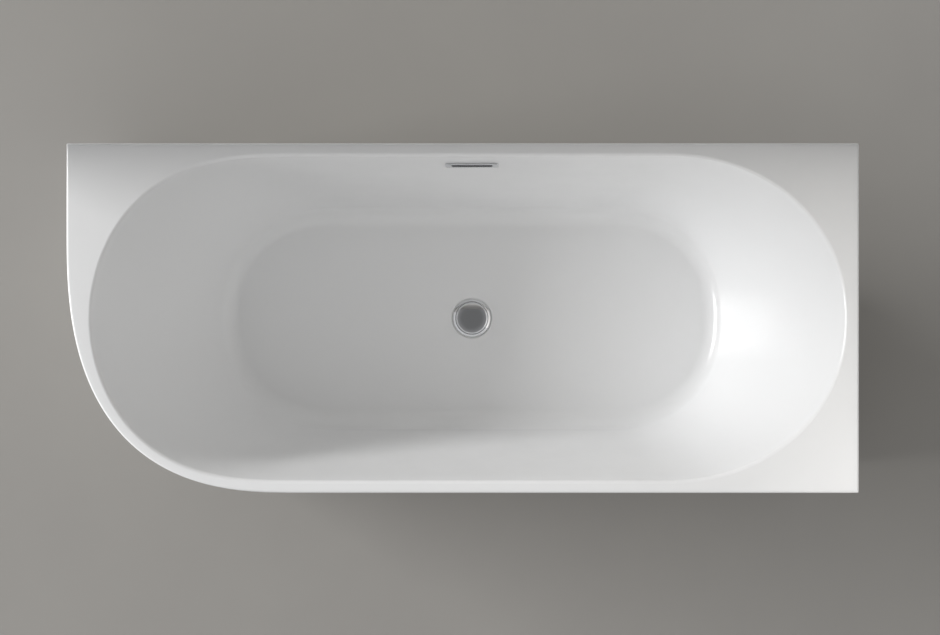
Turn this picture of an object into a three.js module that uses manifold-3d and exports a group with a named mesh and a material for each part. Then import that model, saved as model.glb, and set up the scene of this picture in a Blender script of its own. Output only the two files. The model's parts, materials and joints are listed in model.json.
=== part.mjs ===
// Freestanding corner bathtub: acrylic basin with one rounded corner, skirt, frame, feet, waste and overflow.
// Millimetres. +X runs along the bath to its right end wall, +Y to its back wall, +Z up.
// The origin lies on the floor under the middle of the rim.

import * as THREE from 'three';
import { mergeVertices } from 'three/addons/utils/BufferGeometryUtils.js';
import Module from 'manifold-3d';

const wasm = await Module();
wasm.setup();

// Rim and deck
const RIM_LENGTH = 1700;
const RIM_WIDTH = 750;
const RIM_HEIGHT = 580;
const ROUND_CORNER_LENGTH = 493;
const LEFT_EDGE_STRAIGHT = 188;
const ROUND_CORNER_POWER = 2.64;
const RIM_EDGE_RADIUS = 5;
const LIP_HEIGHT = 26;
const SHELL_WALL = 7;

// Opening in the deck
const DECK_LEFT = 52;
const DECK_RIGHT = 28;
const DECK_BACK = 27;
const DECK_FRONT = 26;
const OPENING_LEFT_END = 451;
const OPENING_RIGHT_END = 385;
const OPENING_LEFT_POWERS = [2.97, 1.93];
const OPENING_RIGHT_POWERS = [2.1, 2.1];
const OPENING_FILLET = 10;

// Basin floor
const FLOOR_HEIGHT = 150;
const FLOOR_FALL = 4;
const FLOOR_INSET_LEFT = 248;
const FLOOR_INSET_RIGHT = 234;
const FLOOR_INSET_SIDE = 99;
const FLOOR_LEFT_END = 285;
const FLOOR_RIGHT_END = 260;
const FLOOR_POWERS = [2.3, 2.2];
const FLOOR_FILLET = 52;

// Skirt
const SKIRT_DRAFT = 20;
const SKIRT_WALL = 7;
const SKIRT_FLOOR_GAP = 12;
const SKIRT_FLANGE = 24;
const SKIRT_RETURN = 34;

// Clearances between pieces
const SEAT_GAP = 0.3;
const CUT_OVERRUN = 20;

// Base board and deck corner boards
const BOARD_THICKNESS = 16;
const BOARD_INSET = 58;
const CORNER_BOARD_THICKNESS = 12;
const CORNER_BOARD_MARGIN = 10;

// Frame of box tube
const TUBE_SIZE = 30;
const TUBE_WALL = 2.5;
const RAIL_SPREAD = 150;
const FRAME_INSET_LEFT = 160;
const FRAME_INSET_RIGHT = 120;
const FRAME_INSET_SIDE = 75;
const CROSS_BAR_INSET = 170;
const CROSS_BAR_FROM_DRAIN = 150;

// Levelling feet
const FOOT_INSET = 30;
const PAD_RADIUS = 30;
const PAD_FLANGE = 5;
const PAD_NECK_RADIUS = 14;
const PAD_HEIGHT = 16;
const STUD_RADIUS = 6;
const STUD_SOCKET_DEPTH = 9;
const STUD_BALL_RADIUS = 8;
const STUD_HEX_RADIUS = 9;
const STUD_HEX_HEIGHT = 7;
const FOOT_RETRACT = 8;
const NUT_RADIUS = 11;
const NUT_HEIGHT = 8;

// Skirt brackets
const BRACKET_WIDTH = 30;
const BRACKET_SHEET = 3;
const BRACKET_LAP = 28;
const BRACKET_FOOT = 16;
const BRACKET_CLEARANCE = 1.5;

// Waste fitting in the basin floor
const DRAIN_X = 20;
const DRAIN_RECESS_RADIUS = 46;
const DRAIN_RECESS_DEPTH = 4;
const DRAIN_RECESS_DRAFT = 1.5;
const DRAIN_HOLE_RADIUS = 26;
const DRAIN_BOSS_MARGIN = 8;
const BOARD_HOLE_RADIUS = 62;
const FLANGE_RADIUS = 43.5;
const FLANGE_THICKNESS = 3.4;
const FLANGE_SEAT_DEPTH = 1.4;
const FLANGE_BEAD = 3.2;
const TAIL_RADIUS = 23;
const TAIL_WALL = 3;
const TAIL_LENGTH = 52;
const WEB_DEPTH = 13;
const WEB_ARM = 4;
const WEB_ARMS = 3;
const WEB_DROP = 8;
const WASHER_THICKNESS = 1;

// Click plug
const CAP_RADIUS = 37.5;
const CAP_EDGE = 2.4;
const CAP_DOME = 4.2;
const SEAL_THICKNESS = 2;
const SEAL_OUTER_RADIUS = 33;
const SEAL_INNER_RADIUS = 27;
const CARTRIDGE_RADIUS = 10;
const CARTRIDGE_BORE = 7.6;
const CARTRIDGE_NECK = 4.6;
const CARTRIDGE_COLLAR = 12.5;
const CARTRIDGE_COLLAR_HEIGHT = 2.5;
const CARTRIDGE_END = 2;
const PLUNGER_ROD = 4.2;
const PLUNGER_PISTON = 7.2;
const PLUNGER_PISTON_HEIGHT = 5;
const PLUG_TRAVEL = 9;
const SPRING_WIRE = 0.6;
const SPRING_LENGTH = 13;
const SPRING_TURNS = 6;

// Waste body and trap under the floor
const GASKET_THICKNESS = 3;
const BODY_FLANGE_RADIUS = 40;
const BODY_FLANGE_THICKNESS = 4;
const BODY_RADIUS = 31;
const BODY_WALL = 3;
const BODY_LENGTH = 86;
const BODY_TAIL_RADIUS = 24;
const BODY_TAIL_LENGTH = 12;
const SPIGOT_RADIUS = 10;
const SPIGOT_BORE = 7.5;
const SPIGOT_LENGTH = 34;
const SPIGOT_HEIGHT = 80;
const TRAP_NUT_RADIUS = 33;
const TRAP_NUT_HEIGHT = 15;
const TRAP_RADIUS = 50;
const TRAP_WALL = 3;
const TRAP_BASE = 8;
const TRAP_HEIGHT = 38;
const OUTLET_RADIUS = 20;
const OUTLET_SPIGOT_RADIUS = 17;
const OUTLET_SPIGOT_BORE = 14;
const OUTLET_SPIGOT_LENGTH = 32;
const OUTLET_HEIGHT = 30;
const OUTLET_PIPE_FROM_WALL = 30;
const OUTLET_NUT_RADIUS = 26;
const OUTLET_NUT_LENGTH = 22;

// Overflow in the back wall of the basin
const OVERFLOW_DEPTH = 62;
const COVER_WIDTH = 116;
const COVER_HEIGHT = 28;
const COVER_THICKNESS = 3;
const COVER_CORNER = 4;
const COVER_NECK_WIDTH = 100;
const COVER_NECK_HEIGHT = 18;
const COVER_SLOT_WIDTH = 90;
const COVER_SLOT_HEIGHT = 12;
const SLOT_CLEARANCE = 1;
const OVERFLOW_GASKET_BORDER = 7;
const OVERFLOW_GASKET_THICKNESS = 2;
const CHAMBER_WIDTH = 122;
const CHAMBER_HEIGHT = 36;
const CHAMBER_DEPTH = 20;
const CHAMBER_WALL = 2.5;
const CHAMBER_SPIGOT_LENGTH = 30;

// Ribbed hose between overflow and waste body
const HOSE_RADIUS = 14;
const HOSE_ROOT_RADIUS = 12.2;
const HOSE_BORE = 11.3;
const HOSE_BEND_RADIUS = 120;
const HOSE_LAP = 20;
const HOSE_RIBS = 84;
const HOSE_SIDES = 8;
const HOSE_RIBS_PER_BORE_RING = 5;
const CLIP_RADIUS = 16.5;
const CLIP_LENGTH = 9;

// Facet counts
const END_STEPS = 11;
const SIDE_STEPS = 7;
const TOP_FILLET_STEPS = 4;
const FLOOR_FILLET_STEPS = 6;
const ROUND_STEPS = 24;
const SMALL_ROUND_STEPS = 12;

// Sizes worked out from the driving dimensions
const HALF_LENGTH = RIM_LENGTH / 2;
const HALF_WIDTH = RIM_WIDTH / 2;
const ROUND_CORNER_WIDTH = RIM_WIDTH - LEFT_EDGE_STRAIGHT;
const OPENING_LEFT = -HALF_LENGTH + DECK_LEFT;
const OPENING_RIGHT = HALF_LENGTH - DECK_RIGHT;
const OPENING_CENTRE_Y = (DECK_FRONT - DECK_BACK) / 2;
const OPENING_HALF_WIDTH = (RIM_WIDTH - DECK_FRONT - DECK_BACK) / 2;
const FLOOR_LEFT = OPENING_LEFT + FLOOR_INSET_LEFT;
const FLOOR_RIGHT = OPENING_RIGHT - FLOOR_INSET_RIGHT;
const FLOOR_HALF_WIDTH = OPENING_HALF_WIDTH - FLOOR_INSET_SIDE;
const FLOOR_UNDERSIDE = FLOOR_HEIGHT - SHELL_WALL;
const FLANGE_SEAT_Z = FLOOR_HEIGHT - DRAIN_RECESS_DEPTH;
const RECESS_UNDERSIDE = FLANGE_SEAT_Z - SHELL_WALL;
const BOARD_TOP = FLOOR_UNDERSIDE - SEAT_GAP;
const BOARD_BOTTOM = BOARD_TOP - BOARD_THICKNESS;
const RAIL_TOP = BOARD_BOTTOM - SEAT_GAP;
const RAIL_BOTTOM = RAIL_TOP - TUBE_SIZE;
const CROSS_TOP = RAIL_BOTTOM - SEAT_GAP;
const CROSS_BOTTOM = CROSS_TOP - TUBE_SIZE;
const RAIL_LEFT = -HALF_LENGTH + FRAME_INSET_LEFT;
const RAIL_RIGHT = HALF_LENGTH - FRAME_INSET_RIGHT;
const CROSS_LENGTH = RIM_WIDTH - 2 * FRAME_INSET_SIDE;
const CROSS_LEFT = RAIL_LEFT + CROSS_BAR_INSET;
const CROSS_MIDDLE = DRAIN_X - CROSS_BAR_FROM_DRAIN;
const CROSS_RIGHT = RAIL_RIGHT - CROSS_BAR_INSET;
const OUTLET_PIPE_END = HALF_WIDTH - OUTLET_PIPE_FROM_WALL;
const SKIRT_TOP = RIM_HEIGHT - LIP_HEIGHT - SEAT_GAP;

// Materials
const finish = (color, roughness, metalness) =>
  new THREE.MeshStandardMaterial({ color, roughness, metalness });
const ACRYLIC = () => finish(0xf4f5f6, 0.12, 0);
const CHROME = () => finish(0xd8dadc, 0.08, 1);
const STEEL = () => finish(0x9a9da1, 0.4, 1);
const RUBBER = () => finish(0x202122, 0.85, 0);
const PLASTIC = () => finish(0xe6e6e2, 0.45, 0);
const DARK_PLASTIC = () => finish(0x35373a, 0.55, 0);
const BOARD = () => finish(0xb9935f, 0.8, 0);

const bathtub = new THREE.Group();
bathtub.name = 'corner_bathtub';

// Closed bodies

// Leaves only position, joins shared corners, drops empty faces and turns the faces outwards.
function closedBody(geometry) {
  const bare = geometry.clone();
  bare.deleteAttribute('normal');
  bare.deleteAttribute('uv');
  const merged = mergeVertices(bare);
  const place = merged.getAttribute('position');
  const index = merged.getIndex();
  const corner = [new THREE.Vector3(), new THREE.Vector3(), new THREE.Vector3()];
  const faces = [];
  let volume = 0;
  for (let i = 0; i < index.count; i += 3) {
    const ids = [index.getX(i), index.getX(i + 1), index.getX(i + 2)];
    if (new Set(ids).size < 3) continue;
    ids.forEach((id, k) => corner[k].fromBufferAttribute(place, id));
    volume += corner[0].dot(corner[1].clone().cross(corner[2]));
    faces.push(ids);
  }
  const outward = volume > 0 ? faces : faces.map(([a, b, c]) => [a, c, b]);
  merged.setIndex(outward.flat());
  return merged;
}

function toSolid(geometry) {
  const body = closedBody(geometry);
  const vertProperties = Float32Array.from(body.getAttribute('position').array);
  const triVerts = Uint32Array.from(body.getIndex().array);
  return new wasm.Manifold(new wasm.Mesh({ numProp: 3, vertProperties, triVerts }));
}

function fromSolid(solid) {
  const mesh = solid.getMesh();
  const geometry = new THREE.BufferGeometry();
  geometry.setAttribute('position', new THREE.BufferAttribute(mesh.vertProperties, 3));
  geometry.setIndex(Array.from(mesh.triVerts));
  return geometry;
}

function add(name, geometry, material, parent = bathtub) {
  const body = closedBody(geometry);
  body.computeVertexNormals();
  const mesh = new THREE.Mesh(body, material);
  mesh.name = name;
  parent.add(mesh);
  return mesh;
}

// A closed skin from rings of equal length. The last ring joins the first.
function ringSkin(rings) {
  const count = rings[0].length;
  const places = rings.flat().flatMap((p) => [p.x, p.y, p.z]);
  const index = [];
  rings.forEach((ring, r) => {
    const next = (r + 1) % rings.length;
    for (let i = 0; i < count; i += 1) {
      const j = (i + 1) % count;
      const [a, b] = [r * count + i, r * count + j];
      const [c, d] = [next * count + i, next * count + j];
      index.push(a, b, d, a, d, c);
    }
  });
  const geometry = new THREE.BufferGeometry();
  geometry.setAttribute('position', new THREE.Float32BufferAttribute(places, 3));
  geometry.setIndex(index);
  return geometry;
}

// A revolved body about the upright axis, from [radius, height] pairs that close on themselves.
function revolved(pairs, steps = ROUND_STEPS) {
  const closed = [...pairs, pairs[0]];
  const profile = closed.map(([radius, height]) => new THREE.Vector2(radius, height));
  return new THREE.LatheGeometry(profile, steps).rotateX(Math.PI / 2);
}

// A round post with its foot at the given height.
function post(radius, bottom, top, steps = SMALL_ROUND_STEPS) {
  const height = top - bottom;
  const geometry = new THREE.CylinderGeometry(radius, radius, height, steps).rotateX(Math.PI / 2);
  return geometry.translate(0, 0, bottom + height / 2);
}

function extruded(shape, depth) {
  return new THREE.ExtrudeGeometry(shape, { depth, bevelEnabled: false, curveSegments: 6 });
}

function rectangle(width, height) {
  const [w, h] = [width / 2, height / 2];
  return [[-w, -h], [w, -h], [w, h], [-w, h]].map(([x, y]) => new THREE.Vector2(x, y));
}

function polygon(radius, sides) {
  const points = [];
  for (let i = 0; i < sides; i += 1) {
    const angle = (i / sides) * 2 * Math.PI;
    points.push(new THREE.Vector2(radius * Math.cos(angle), radius * Math.sin(angle)));
  }
  return points;
}

function roundedRectangle(width, height, corner) {
  const [w, h] = [width / 2, height / 2];
  const shape = new THREE.Shape();
  shape.absarc(w - corner, h - corner, corner, 0, Math.PI / 2);
  shape.absarc(-w + corner, h - corner, corner, Math.PI / 2, Math.PI);
  shape.absarc(-w + corner, -h + corner, corner, Math.PI, 1.5 * Math.PI);
  shape.absarc(w - corner, -h + corner, corner, 1.5 * Math.PI, 2 * Math.PI);
  return shape;
}

// Plan outlines of the basin

// A point of a rounded end, which follows |x / a|^p + |y / b|^q = 1.
function endPoint(angle, centre, length, halfWidth, powers) {
  const [p, q] = powers;
  const c = Math.cos(angle);
  const s = Math.sin(angle);
  const along = Math.abs(c) < 1e-9 ? 0 : Math.sign(c) * Math.abs(c) ** (2 / p);
  const across = Math.abs(s) < 1e-9 ? 0 : Math.sign(s) * Math.abs(s) ** (2 / q);
  return new THREE.Vector2(centre + length * along, OPENING_CENTRE_Y + halfWidth * across);
}

function outlinePoint(station, left, right, leftEnd, rightEnd, halfWidth, leftPowers, rightPowers) {
  if (station.end === 'side') {
    const [from, to] = [left + leftEnd, right - rightEnd];
    const across = OPENING_CENTRE_Y + halfWidth * station.side;
    return new THREE.Vector2(from + (to - from) * station.share, across);
  }
  const onRight = station.end === 'right';
  const centre = onRight ? right - rightEnd : left + leftEnd;
  const length = onRight ? rightEnd : leftEnd;
  return endPoint(station.angle, centre, length, halfWidth, onRight ? rightPowers : leftPowers);
}

function openingPoint(station) {
  return outlinePoint(station, OPENING_LEFT, OPENING_RIGHT, OPENING_LEFT_END, OPENING_RIGHT_END,
    OPENING_HALF_WIDTH, OPENING_LEFT_POWERS, OPENING_RIGHT_POWERS);
}

function floorPoint(station, inset = 0) {
  return outlinePoint(station, FLOOR_LEFT + inset, FLOOR_RIGHT - inset, FLOOR_LEFT_END - inset,
    FLOOR_RIGHT_END - inset, FLOOR_HALF_WIDTH - inset, FLOOR_POWERS, FLOOR_POWERS);
}

// Outer outline of the rim: three square corners and one rounded corner at the front left.
const ROUND_CENTRE = new THREE.Vector2(-HALF_LENGTH + ROUND_CORNER_LENGTH,
  -HALF_WIDTH + ROUND_CORNER_WIDTH);
const SQUARE_CORNERS = [[1, 1], [-1, 1], [1, -1]].map(([x, y]) => ({
  place: new THREE.Vector2(x * HALF_LENGTH, y * HALF_WIDTH),
  outward: new THREE.Vector2(x, y),
}));
const ROUND_ENDS = [
  new THREE.Vector2(-HALF_LENGTH, ROUND_CENTRE.y),
  new THREE.Vector2(ROUND_CENTRE.x, -HALF_WIDTH),
];
const RIM_CENTRE = new THREE.Vector2((OPENING_LEFT + OPENING_RIGHT) / 2, OPENING_CENTRE_Y);

function roundCornerLevel(x, y) {
  const across = Math.max(ROUND_CENTRE.x - x, 0) / ROUND_CORNER_LENGTH;
  const down = Math.max(ROUND_CENTRE.y - y, 0) / ROUND_CORNER_WIDTH;
  return across ** ROUND_CORNER_POWER + down ** ROUND_CORNER_POWER;
}

function roundCornerOutward(x, y) {
  const across = Math.max(ROUND_CENTRE.x - x, 0) / ROUND_CORNER_LENGTH;
  const down = Math.max(ROUND_CENTRE.y - y, 0) / ROUND_CORNER_WIDTH;
  return new THREE.Vector2(-(across ** (ROUND_CORNER_POWER - 1)) / ROUND_CORNER_LENGTH,
    -(down ** (ROUND_CORNER_POWER - 1)) / ROUND_CORNER_WIDTH).normalize();
}

// Where a ray from the middle of the opening meets the rim, and which way is outwards there.
function rimHit(direction) {
  const corner = SQUARE_CORNERS.find(({ place }) => {
    const toward = place.clone().sub(RIM_CENTRE).normalize();
    return toward.distanceTo(direction) < 1e-6;
  });
  if (corner) return { place: corner.place.clone(), outward: corner.outward.clone() };
  const limit = (part, half, centre) => (part === 0 ? Infinity : (Math.sign(part) * half - centre) / part);
  const limitX = limit(direction.x, HALF_LENGTH, RIM_CENTRE.x);
  const limitY = limit(direction.y, HALF_WIDTH, RIM_CENTRE.y);
  let reach = Math.min(limitX, limitY);
  const at = (t) => RIM_CENTRE.clone().addScaledVector(direction, t);
  const box = at(reach);
  if (roundCornerLevel(box.x, box.y) <= 1 + 1e-9) {
    const outward = limitX < limitY
      ? new THREE.Vector2(Math.sign(direction.x), 0)
      : new THREE.Vector2(0, Math.sign(direction.y));
    return { place: box, outward };
  }
  let inside = 0;
  for (let i = 0; i < 60; i += 1) {
    const middle = (inside + reach) / 2;
    const p = at(middle);
    if (roundCornerLevel(p.x, p.y) > 1) reach = middle;
    else inside = middle;
  }
  const place = at(inside);
  return { place, outward: roundCornerOutward(place.x, place.y) };
}

// Stations round the basin: evenly stepped on the rounded ends, with one more on each ray that
// passes through a corner of the rim or an end of its rounded corner.
function makeStations() {
  const quarters = [
    { end: 'right', from: 0 }, { end: 'left', from: 1 }, { end: 'left', from: 2 }, { end: 'right', from: 3 },
  ];
  const marks = [...SQUARE_CORNERS.map((corner) => corner.place), ...ROUND_ENDS];
  const stations = [];
  quarters.forEach(({ end, from }) => {
    const steps = [];
    for (let i = 0; i <= END_STEPS; i += 1) steps.push((from + i / END_STEPS) * (Math.PI / 2));
    marks.forEach((mark) => {
      const wanted = mark.clone().sub(RIM_CENTRE).angle();
      const turn = (angle) => {
        const away = openingPoint({ end, angle }).sub(RIM_CENTRE).angle() - wanted;
        return Math.atan2(Math.sin(away), Math.cos(away));
      };
      let [low, high] = [steps[0], steps[END_STEPS]];
      if (turn(low) > 0 || turn(high) < 0) return;
      for (let i = 0; i < 60; i += 1) {
        const middle = (low + high) / 2;
        if (turn(middle) < 0) low = middle;
        else high = middle;
      }
      steps.push((low + high) / 2);
    });
    const shared = from === 1 || from === 3;
    steps.sort((a, b) => a - b);
    stations.push(...steps.slice(0, shared ? -1 : undefined).map((angle) => ({ end, angle })));
  });
  const spaced = stations.filter((station, i) => {
    const before = stations[(i + stations.length - 1) % stations.length];
    return openingPoint(station).distanceTo(openingPoint(before)) > RIM_EDGE_RADIUS;
  });
  const backEnd = spaced.findIndex((station) => station.end === 'left');
  const frontEnd = spaced.findLastIndex((station) => station.end === 'left') + 1;
  return [...spaced.slice(0, backEnd), ...sideStations(1).reverse(), ...spaced.slice(backEnd, frontEnd),
    ...sideStations(-1), ...spaced.slice(frontEnd)];
}

// Stations along a straight side, at even angles as seen from the drain.
function sideStations(side) {
  const from = FLOOR_LEFT + FLOOR_LEFT_END;
  const to = FLOOR_RIGHT - FLOOR_RIGHT_END;
  const first = Math.atan2(from - DRAIN_X, FLOOR_HALF_WIDTH);
  const last = Math.atan2(to - DRAIN_X, FLOOR_HALF_WIDTH);
  return Array.from({ length: SIDE_STEPS }, (_, i) => {
    const angle = first + (last - first) * ((i + 1) / (SIDE_STEPS + 1));
    const x = DRAIN_X + FLOOR_HALF_WIDTH * Math.tan(angle);
    return { end: 'side', side, share: (x - from) / (to - from) };
  });
}

const STATIONS = makeStations();

function openingOutward(station) {
  if (station.end === 'side') return new THREE.Vector2(0, station.side);
  const step = 1e-3;
  const ahead = openingPoint({ end: station.end, angle: station.angle + step });
  const behind = openingPoint({ end: station.end, angle: station.angle - step });
  const along = ahead.sub(behind).normalize();
  return new THREE.Vector2(along.y, -along.x);
}

// Everything a station's upright section needs: plan points, plan run of the wall and rim hit.
const SECTIONS = STATIONS.map((station) => {
  const top = openingPoint(station);
  const foot = floorPoint(station);
  const inward = foot.clone().sub(top);
  const outward = openingOutward(station);
  const run = -inward.dot(outward);
  const drop = RIM_HEIGHT - FLOOR_HEIGHT - FLOOR_FALL;
  const slope = Math.atan2(drop, run);
  const rim = rimHit(top.clone().sub(RIM_CENTRE).normalize());
  return { top, inward, outward, run, slope, rim };
});

// Basin shell

// A point of the section, from its plan distance past the opening's edge line and its height.
function sectionPoint(section, across, height) {
  const plan = section.top.clone().addScaledVector(section.inward, across / section.run);
  return new THREE.Vector3(plan.x, plan.y, height);
}

// The fillet between deck and wall, at a depth below the surface.
function topFillet(section, share, depth) {
  const tangent = OPENING_FILLET * Math.tan(section.slope / 2);
  const turn = section.slope * share;
  const radius = OPENING_FILLET - depth;
  return sectionPoint(section, -tangent + radius * Math.sin(turn),
    RIM_HEIGHT - OPENING_FILLET + radius * Math.cos(turn));
}

// The fillet between wall and floor, at a depth below the surface.
function floorFillet(section, share, depth) {
  const tangent = FLOOR_FILLET * Math.tan(section.slope / 2);
  const turn = section.slope * (1 - share);
  const radius = FLOOR_FILLET + depth;
  return sectionPoint(section, section.run + tangent - radius * Math.sin(turn),
    FLOOR_HEIGHT + FLOOR_FALL + FLOOR_FILLET - radius * Math.cos(turn));
}

function rimPoint(section, inset, height) {
  const plan = section.rim.place.clone().addScaledVector(section.rim.outward, -inset);
  return new THREE.Vector3(plan.x, plan.y, height);
}

function drainPoint(section, radius, height) {
  const end = floorFillet(section, 1, 0);
  const away = new THREE.Vector2(end.x - DRAIN_X, end.y).normalize();
  return new THREE.Vector3(DRAIN_X + radius * away.x, radius * away.y, height);
}

const shares = (steps) => Array.from({ length: steps + 1 }, (_, i) => i / steps);

function shellRings() {
  const outer = RIM_EDGE_RADIUS;
  const ring = (place) => SECTIONS.map(place);
  const bossRadius = DRAIN_RECESS_RADIUS + DRAIN_BOSS_MARGIN;
  const upper = [
    ring((s) => rimPoint(s, 0, RIM_HEIGHT - LIP_HEIGHT)),
    ...[0, Math.PI / 4, Math.PI / 2].map((turn) => ring((s) => rimPoint(s,
      outer * (1 - Math.cos(turn)), RIM_HEIGHT - outer + outer * Math.sin(turn)))),
    ...shares(TOP_FILLET_STEPS).map((share) => ring((s) => topFillet(s, share, 0))),
    ...shares(FLOOR_FILLET_STEPS).map((share) => ring((s) => floorFillet(s, share, 0))),
    ring((s) => drainPoint(s, DRAIN_RECESS_RADIUS + DRAIN_RECESS_DRAFT, FLOOR_HEIGHT)),
    ring((s) => drainPoint(s, DRAIN_RECESS_RADIUS, FLANGE_SEAT_Z)),
    ring((s) => drainPoint(s, DRAIN_HOLE_RADIUS, FLANGE_SEAT_Z)),
  ];
  const lower = [
    ring((s) => drainPoint(s, DRAIN_HOLE_RADIUS, RECESS_UNDERSIDE)),
    ring((s) => drainPoint(s, bossRadius, RECESS_UNDERSIDE)),
    ring((s) => drainPoint(s, bossRadius + DRAIN_RECESS_DRAFT, FLOOR_UNDERSIDE)),
    ring((s) => {
      const end = floorFillet(s, 1, SHELL_WALL);
      return new THREE.Vector3(end.x, end.y, FLOOR_UNDERSIDE);
    }),
    ...shares(FLOOR_FILLET_STEPS).map((share) => ring((s) => floorFillet(s, 1 - share, SHELL_WALL))),
    ...shares(TOP_FILLET_STEPS / 2).map((share) => ring((s) => topFillet(s, 1 - share, SHELL_WALL))),
    ring((s) => rimPoint(s, SHELL_WALL, RIM_HEIGHT - SHELL_WALL)),
    ring((s) => rimPoint(s, SHELL_WALL, RIM_HEIGHT - LIP_HEIGHT)),
  ];
  return [...upper, ...lower];
}

// Lie of the back wall at the overflow: a plane that leans back from the basin floor.
const SIDE_DROP = RIM_HEIGHT - FLOOR_HEIGHT - FLOOR_FALL;
const SIDE_LEAN = Math.atan2(FLOOR_INSET_SIDE, SIDE_DROP);
const OVERFLOW_PLACE = new THREE.Vector3(DRAIN_X,
  OPENING_CENTRE_Y + OPENING_HALF_WIDTH - OVERFLOW_DEPTH * Math.tan(SIDE_LEAN),
  RIM_HEIGHT - OVERFLOW_DEPTH);

// In the overflow's own frame +X runs along the bath, +Y up the wall and +Z into the basin.
function overflowGroup() {
  const group = new THREE.Group();
  group.position.copy(OVERFLOW_PLACE);
  group.rotation.x = Math.PI / 2 - SIDE_LEAN;
  group.updateMatrixWorld(true);
  return group;
}

function makeShell() {
  const width = COVER_NECK_WIDTH + 2 * SLOT_CLEARANCE;
  const height = COVER_NECK_HEIGHT + 2 * SLOT_CLEARANCE;
  const depth = SHELL_WALL + 2 * CUT_OVERRUN;
  const slot = new THREE.BoxGeometry(width, height, depth).applyMatrix4(overflowGroup().matrixWorld);
  const shell = toSolid(ringSkin(shellRings())).subtract(toSolid(slot));
  add('tub_shell', fromSolid(shell), ACRYLIC());
}

// Skirt: a section swept round the front and the left, returned a little way along each wall.

function skirtPath() {
  const path = [];
  const push = (x, y, outwardX, outwardY) => path.push({
    place: new THREE.Vector2(x, y), outward: new THREE.Vector2(outwardX, outwardY),
  });
  push(-HALF_LENGTH + SKIRT_RETURN, HALF_WIDTH, 0, 1);
  push(-HALF_LENGTH, HALF_WIDTH, -1, 1);
  const rounded = SECTIONS.map((section) => section.rim)
    .filter(({ place }) => place.x < ROUND_CENTRE.x + SEAT_GAP && place.y < ROUND_CENTRE.y + SEAT_GAP)
    .sort((a, b) => b.place.y - a.place.y || a.place.x - b.place.x);
  rounded.forEach(({ place, outward }) => push(place.x, place.y, outward.x, outward.y));
  push(HALF_LENGTH, -HALF_WIDTH, 1, -1);
  push(HALF_LENGTH, -HALF_WIDTH + SKIRT_RETURN, 1, 0);
  return path;
}

function skirtInset(height) {
  return SKIRT_DRAFT * (SKIRT_TOP - height) / (SKIRT_TOP - SKIRT_FLOOR_GAP);
}

function makeSkirt() {
  const flangeTop = SKIRT_FLOOR_GAP + SKIRT_WALL;
  const section = [
    [skirtInset(SKIRT_FLOOR_GAP), SKIRT_FLOOR_GAP],
    [skirtInset(SKIRT_TOP), SKIRT_TOP],
    [skirtInset(SKIRT_TOP) + SKIRT_WALL, SKIRT_TOP],
    [skirtInset(flangeTop) + SKIRT_WALL, flangeTop],
    [skirtInset(flangeTop) + SKIRT_FLANGE, flangeTop],
    [skirtInset(SKIRT_FLOOR_GAP) + SKIRT_FLANGE, SKIRT_FLOOR_GAP],
  ];
  const path = skirtPath();
  const count = section.length;
  const places = path.flatMap(({ place, outward }) => section.flatMap(([inset, height]) => {
    const plan = place.clone().addScaledVector(outward, -inset);
    return [plan.x, plan.y, height];
  }));
  const index = [];
  for (let i = 0; i + 1 < path.length; i += 1) {
    for (let k = 0; k < count; k += 1) {
      const j = (k + 1) % count;
      const [a, b] = [i * count + k, i * count + j];
      const [c, d] = [a + count, b + count];
      index.push(a, b, d, a, d, c);
    }
  }
  const flat = section.map(([inset, height]) => new THREE.Vector2(inset, height)).reverse();
  const last = (path.length - 1) * count;
  THREE.ShapeUtils.triangulateShape(flat, []).forEach((face) => {
    const [a, b, c] = face.map((k) => count - 1 - k);
    index.push(a, b, c, last + a, last + c, last + b);
  });
  const geometry = new THREE.BufferGeometry();
  geometry.setAttribute('position', new THREE.Float32BufferAttribute(places, 3));
  geometry.setIndex(index);
  add('skirt', geometry, ACRYLIC());
}

// Boards

function makeBaseBoard() {
  const outline = STATIONS.map((station) => floorPoint(station, BOARD_INSET));
  const shape = new THREE.Shape(outline);
  const hole = new THREE.Path(polygon(BOARD_HOLE_RADIUS, ROUND_STEPS).map((p) => p.add(
    new THREE.Vector2(DRAIN_X, 0))));
  shape.holes.push(hole);
  add('base_board', extruded(shape, BOARD_THICKNESS).translate(0, 0, BOARD_BOTTOM), BOARD());
}

// A board under the solid part of the deck in one square corner, held clear of lip and basin.
function makeCornerBoard(name, signX, signY) {
  const edge = SHELL_WALL + SEAT_GAP;
  const corner = new THREE.Vector2(signX * (HALF_LENGTH - edge), signY * (HALF_WIDTH - edge));
  const reach = OPENING_FILLET + CORNER_BOARD_MARGIN;
  const curve = SECTIONS.map(({ top, outward }) => top.clone().addScaledVector(outward, reach))
    .filter((p) => p.x * signX > 0 && p.y * signY > 0)
    .filter((p) => signX > 0 || p.y > ROUND_CENTRE.y)
    .filter((p) => Math.abs(p.x) < Math.abs(corner.x) - CORNER_BOARD_MARGIN)
    .filter((p) => Math.abs(p.y) < Math.abs(corner.y) - CORNER_BOARD_MARGIN);
  const first = curve[0];
  const last = curve[curve.length - 1];
  const firstOnSide = Math.abs(first.y) < Math.abs(last.y);
  const [side, end] = firstOnSide ? [first, last] : [last, first];
  const ordered = firstOnSide ? curve : [...curve].reverse();
  const shape = new THREE.Shape([
    corner,
    new THREE.Vector2(corner.x, side.y),
    ...ordered,
    new THREE.Vector2(end.x, corner.y),
  ]);
  const bottom = RIM_HEIGHT - SHELL_WALL - SEAT_GAP - CORNER_BOARD_THICKNESS;
  const board = extruded(shape, CORNER_BOARD_THICKNESS).translate(0, 0, bottom);
  add(name, board, BOARD());
}

// Frame

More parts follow.
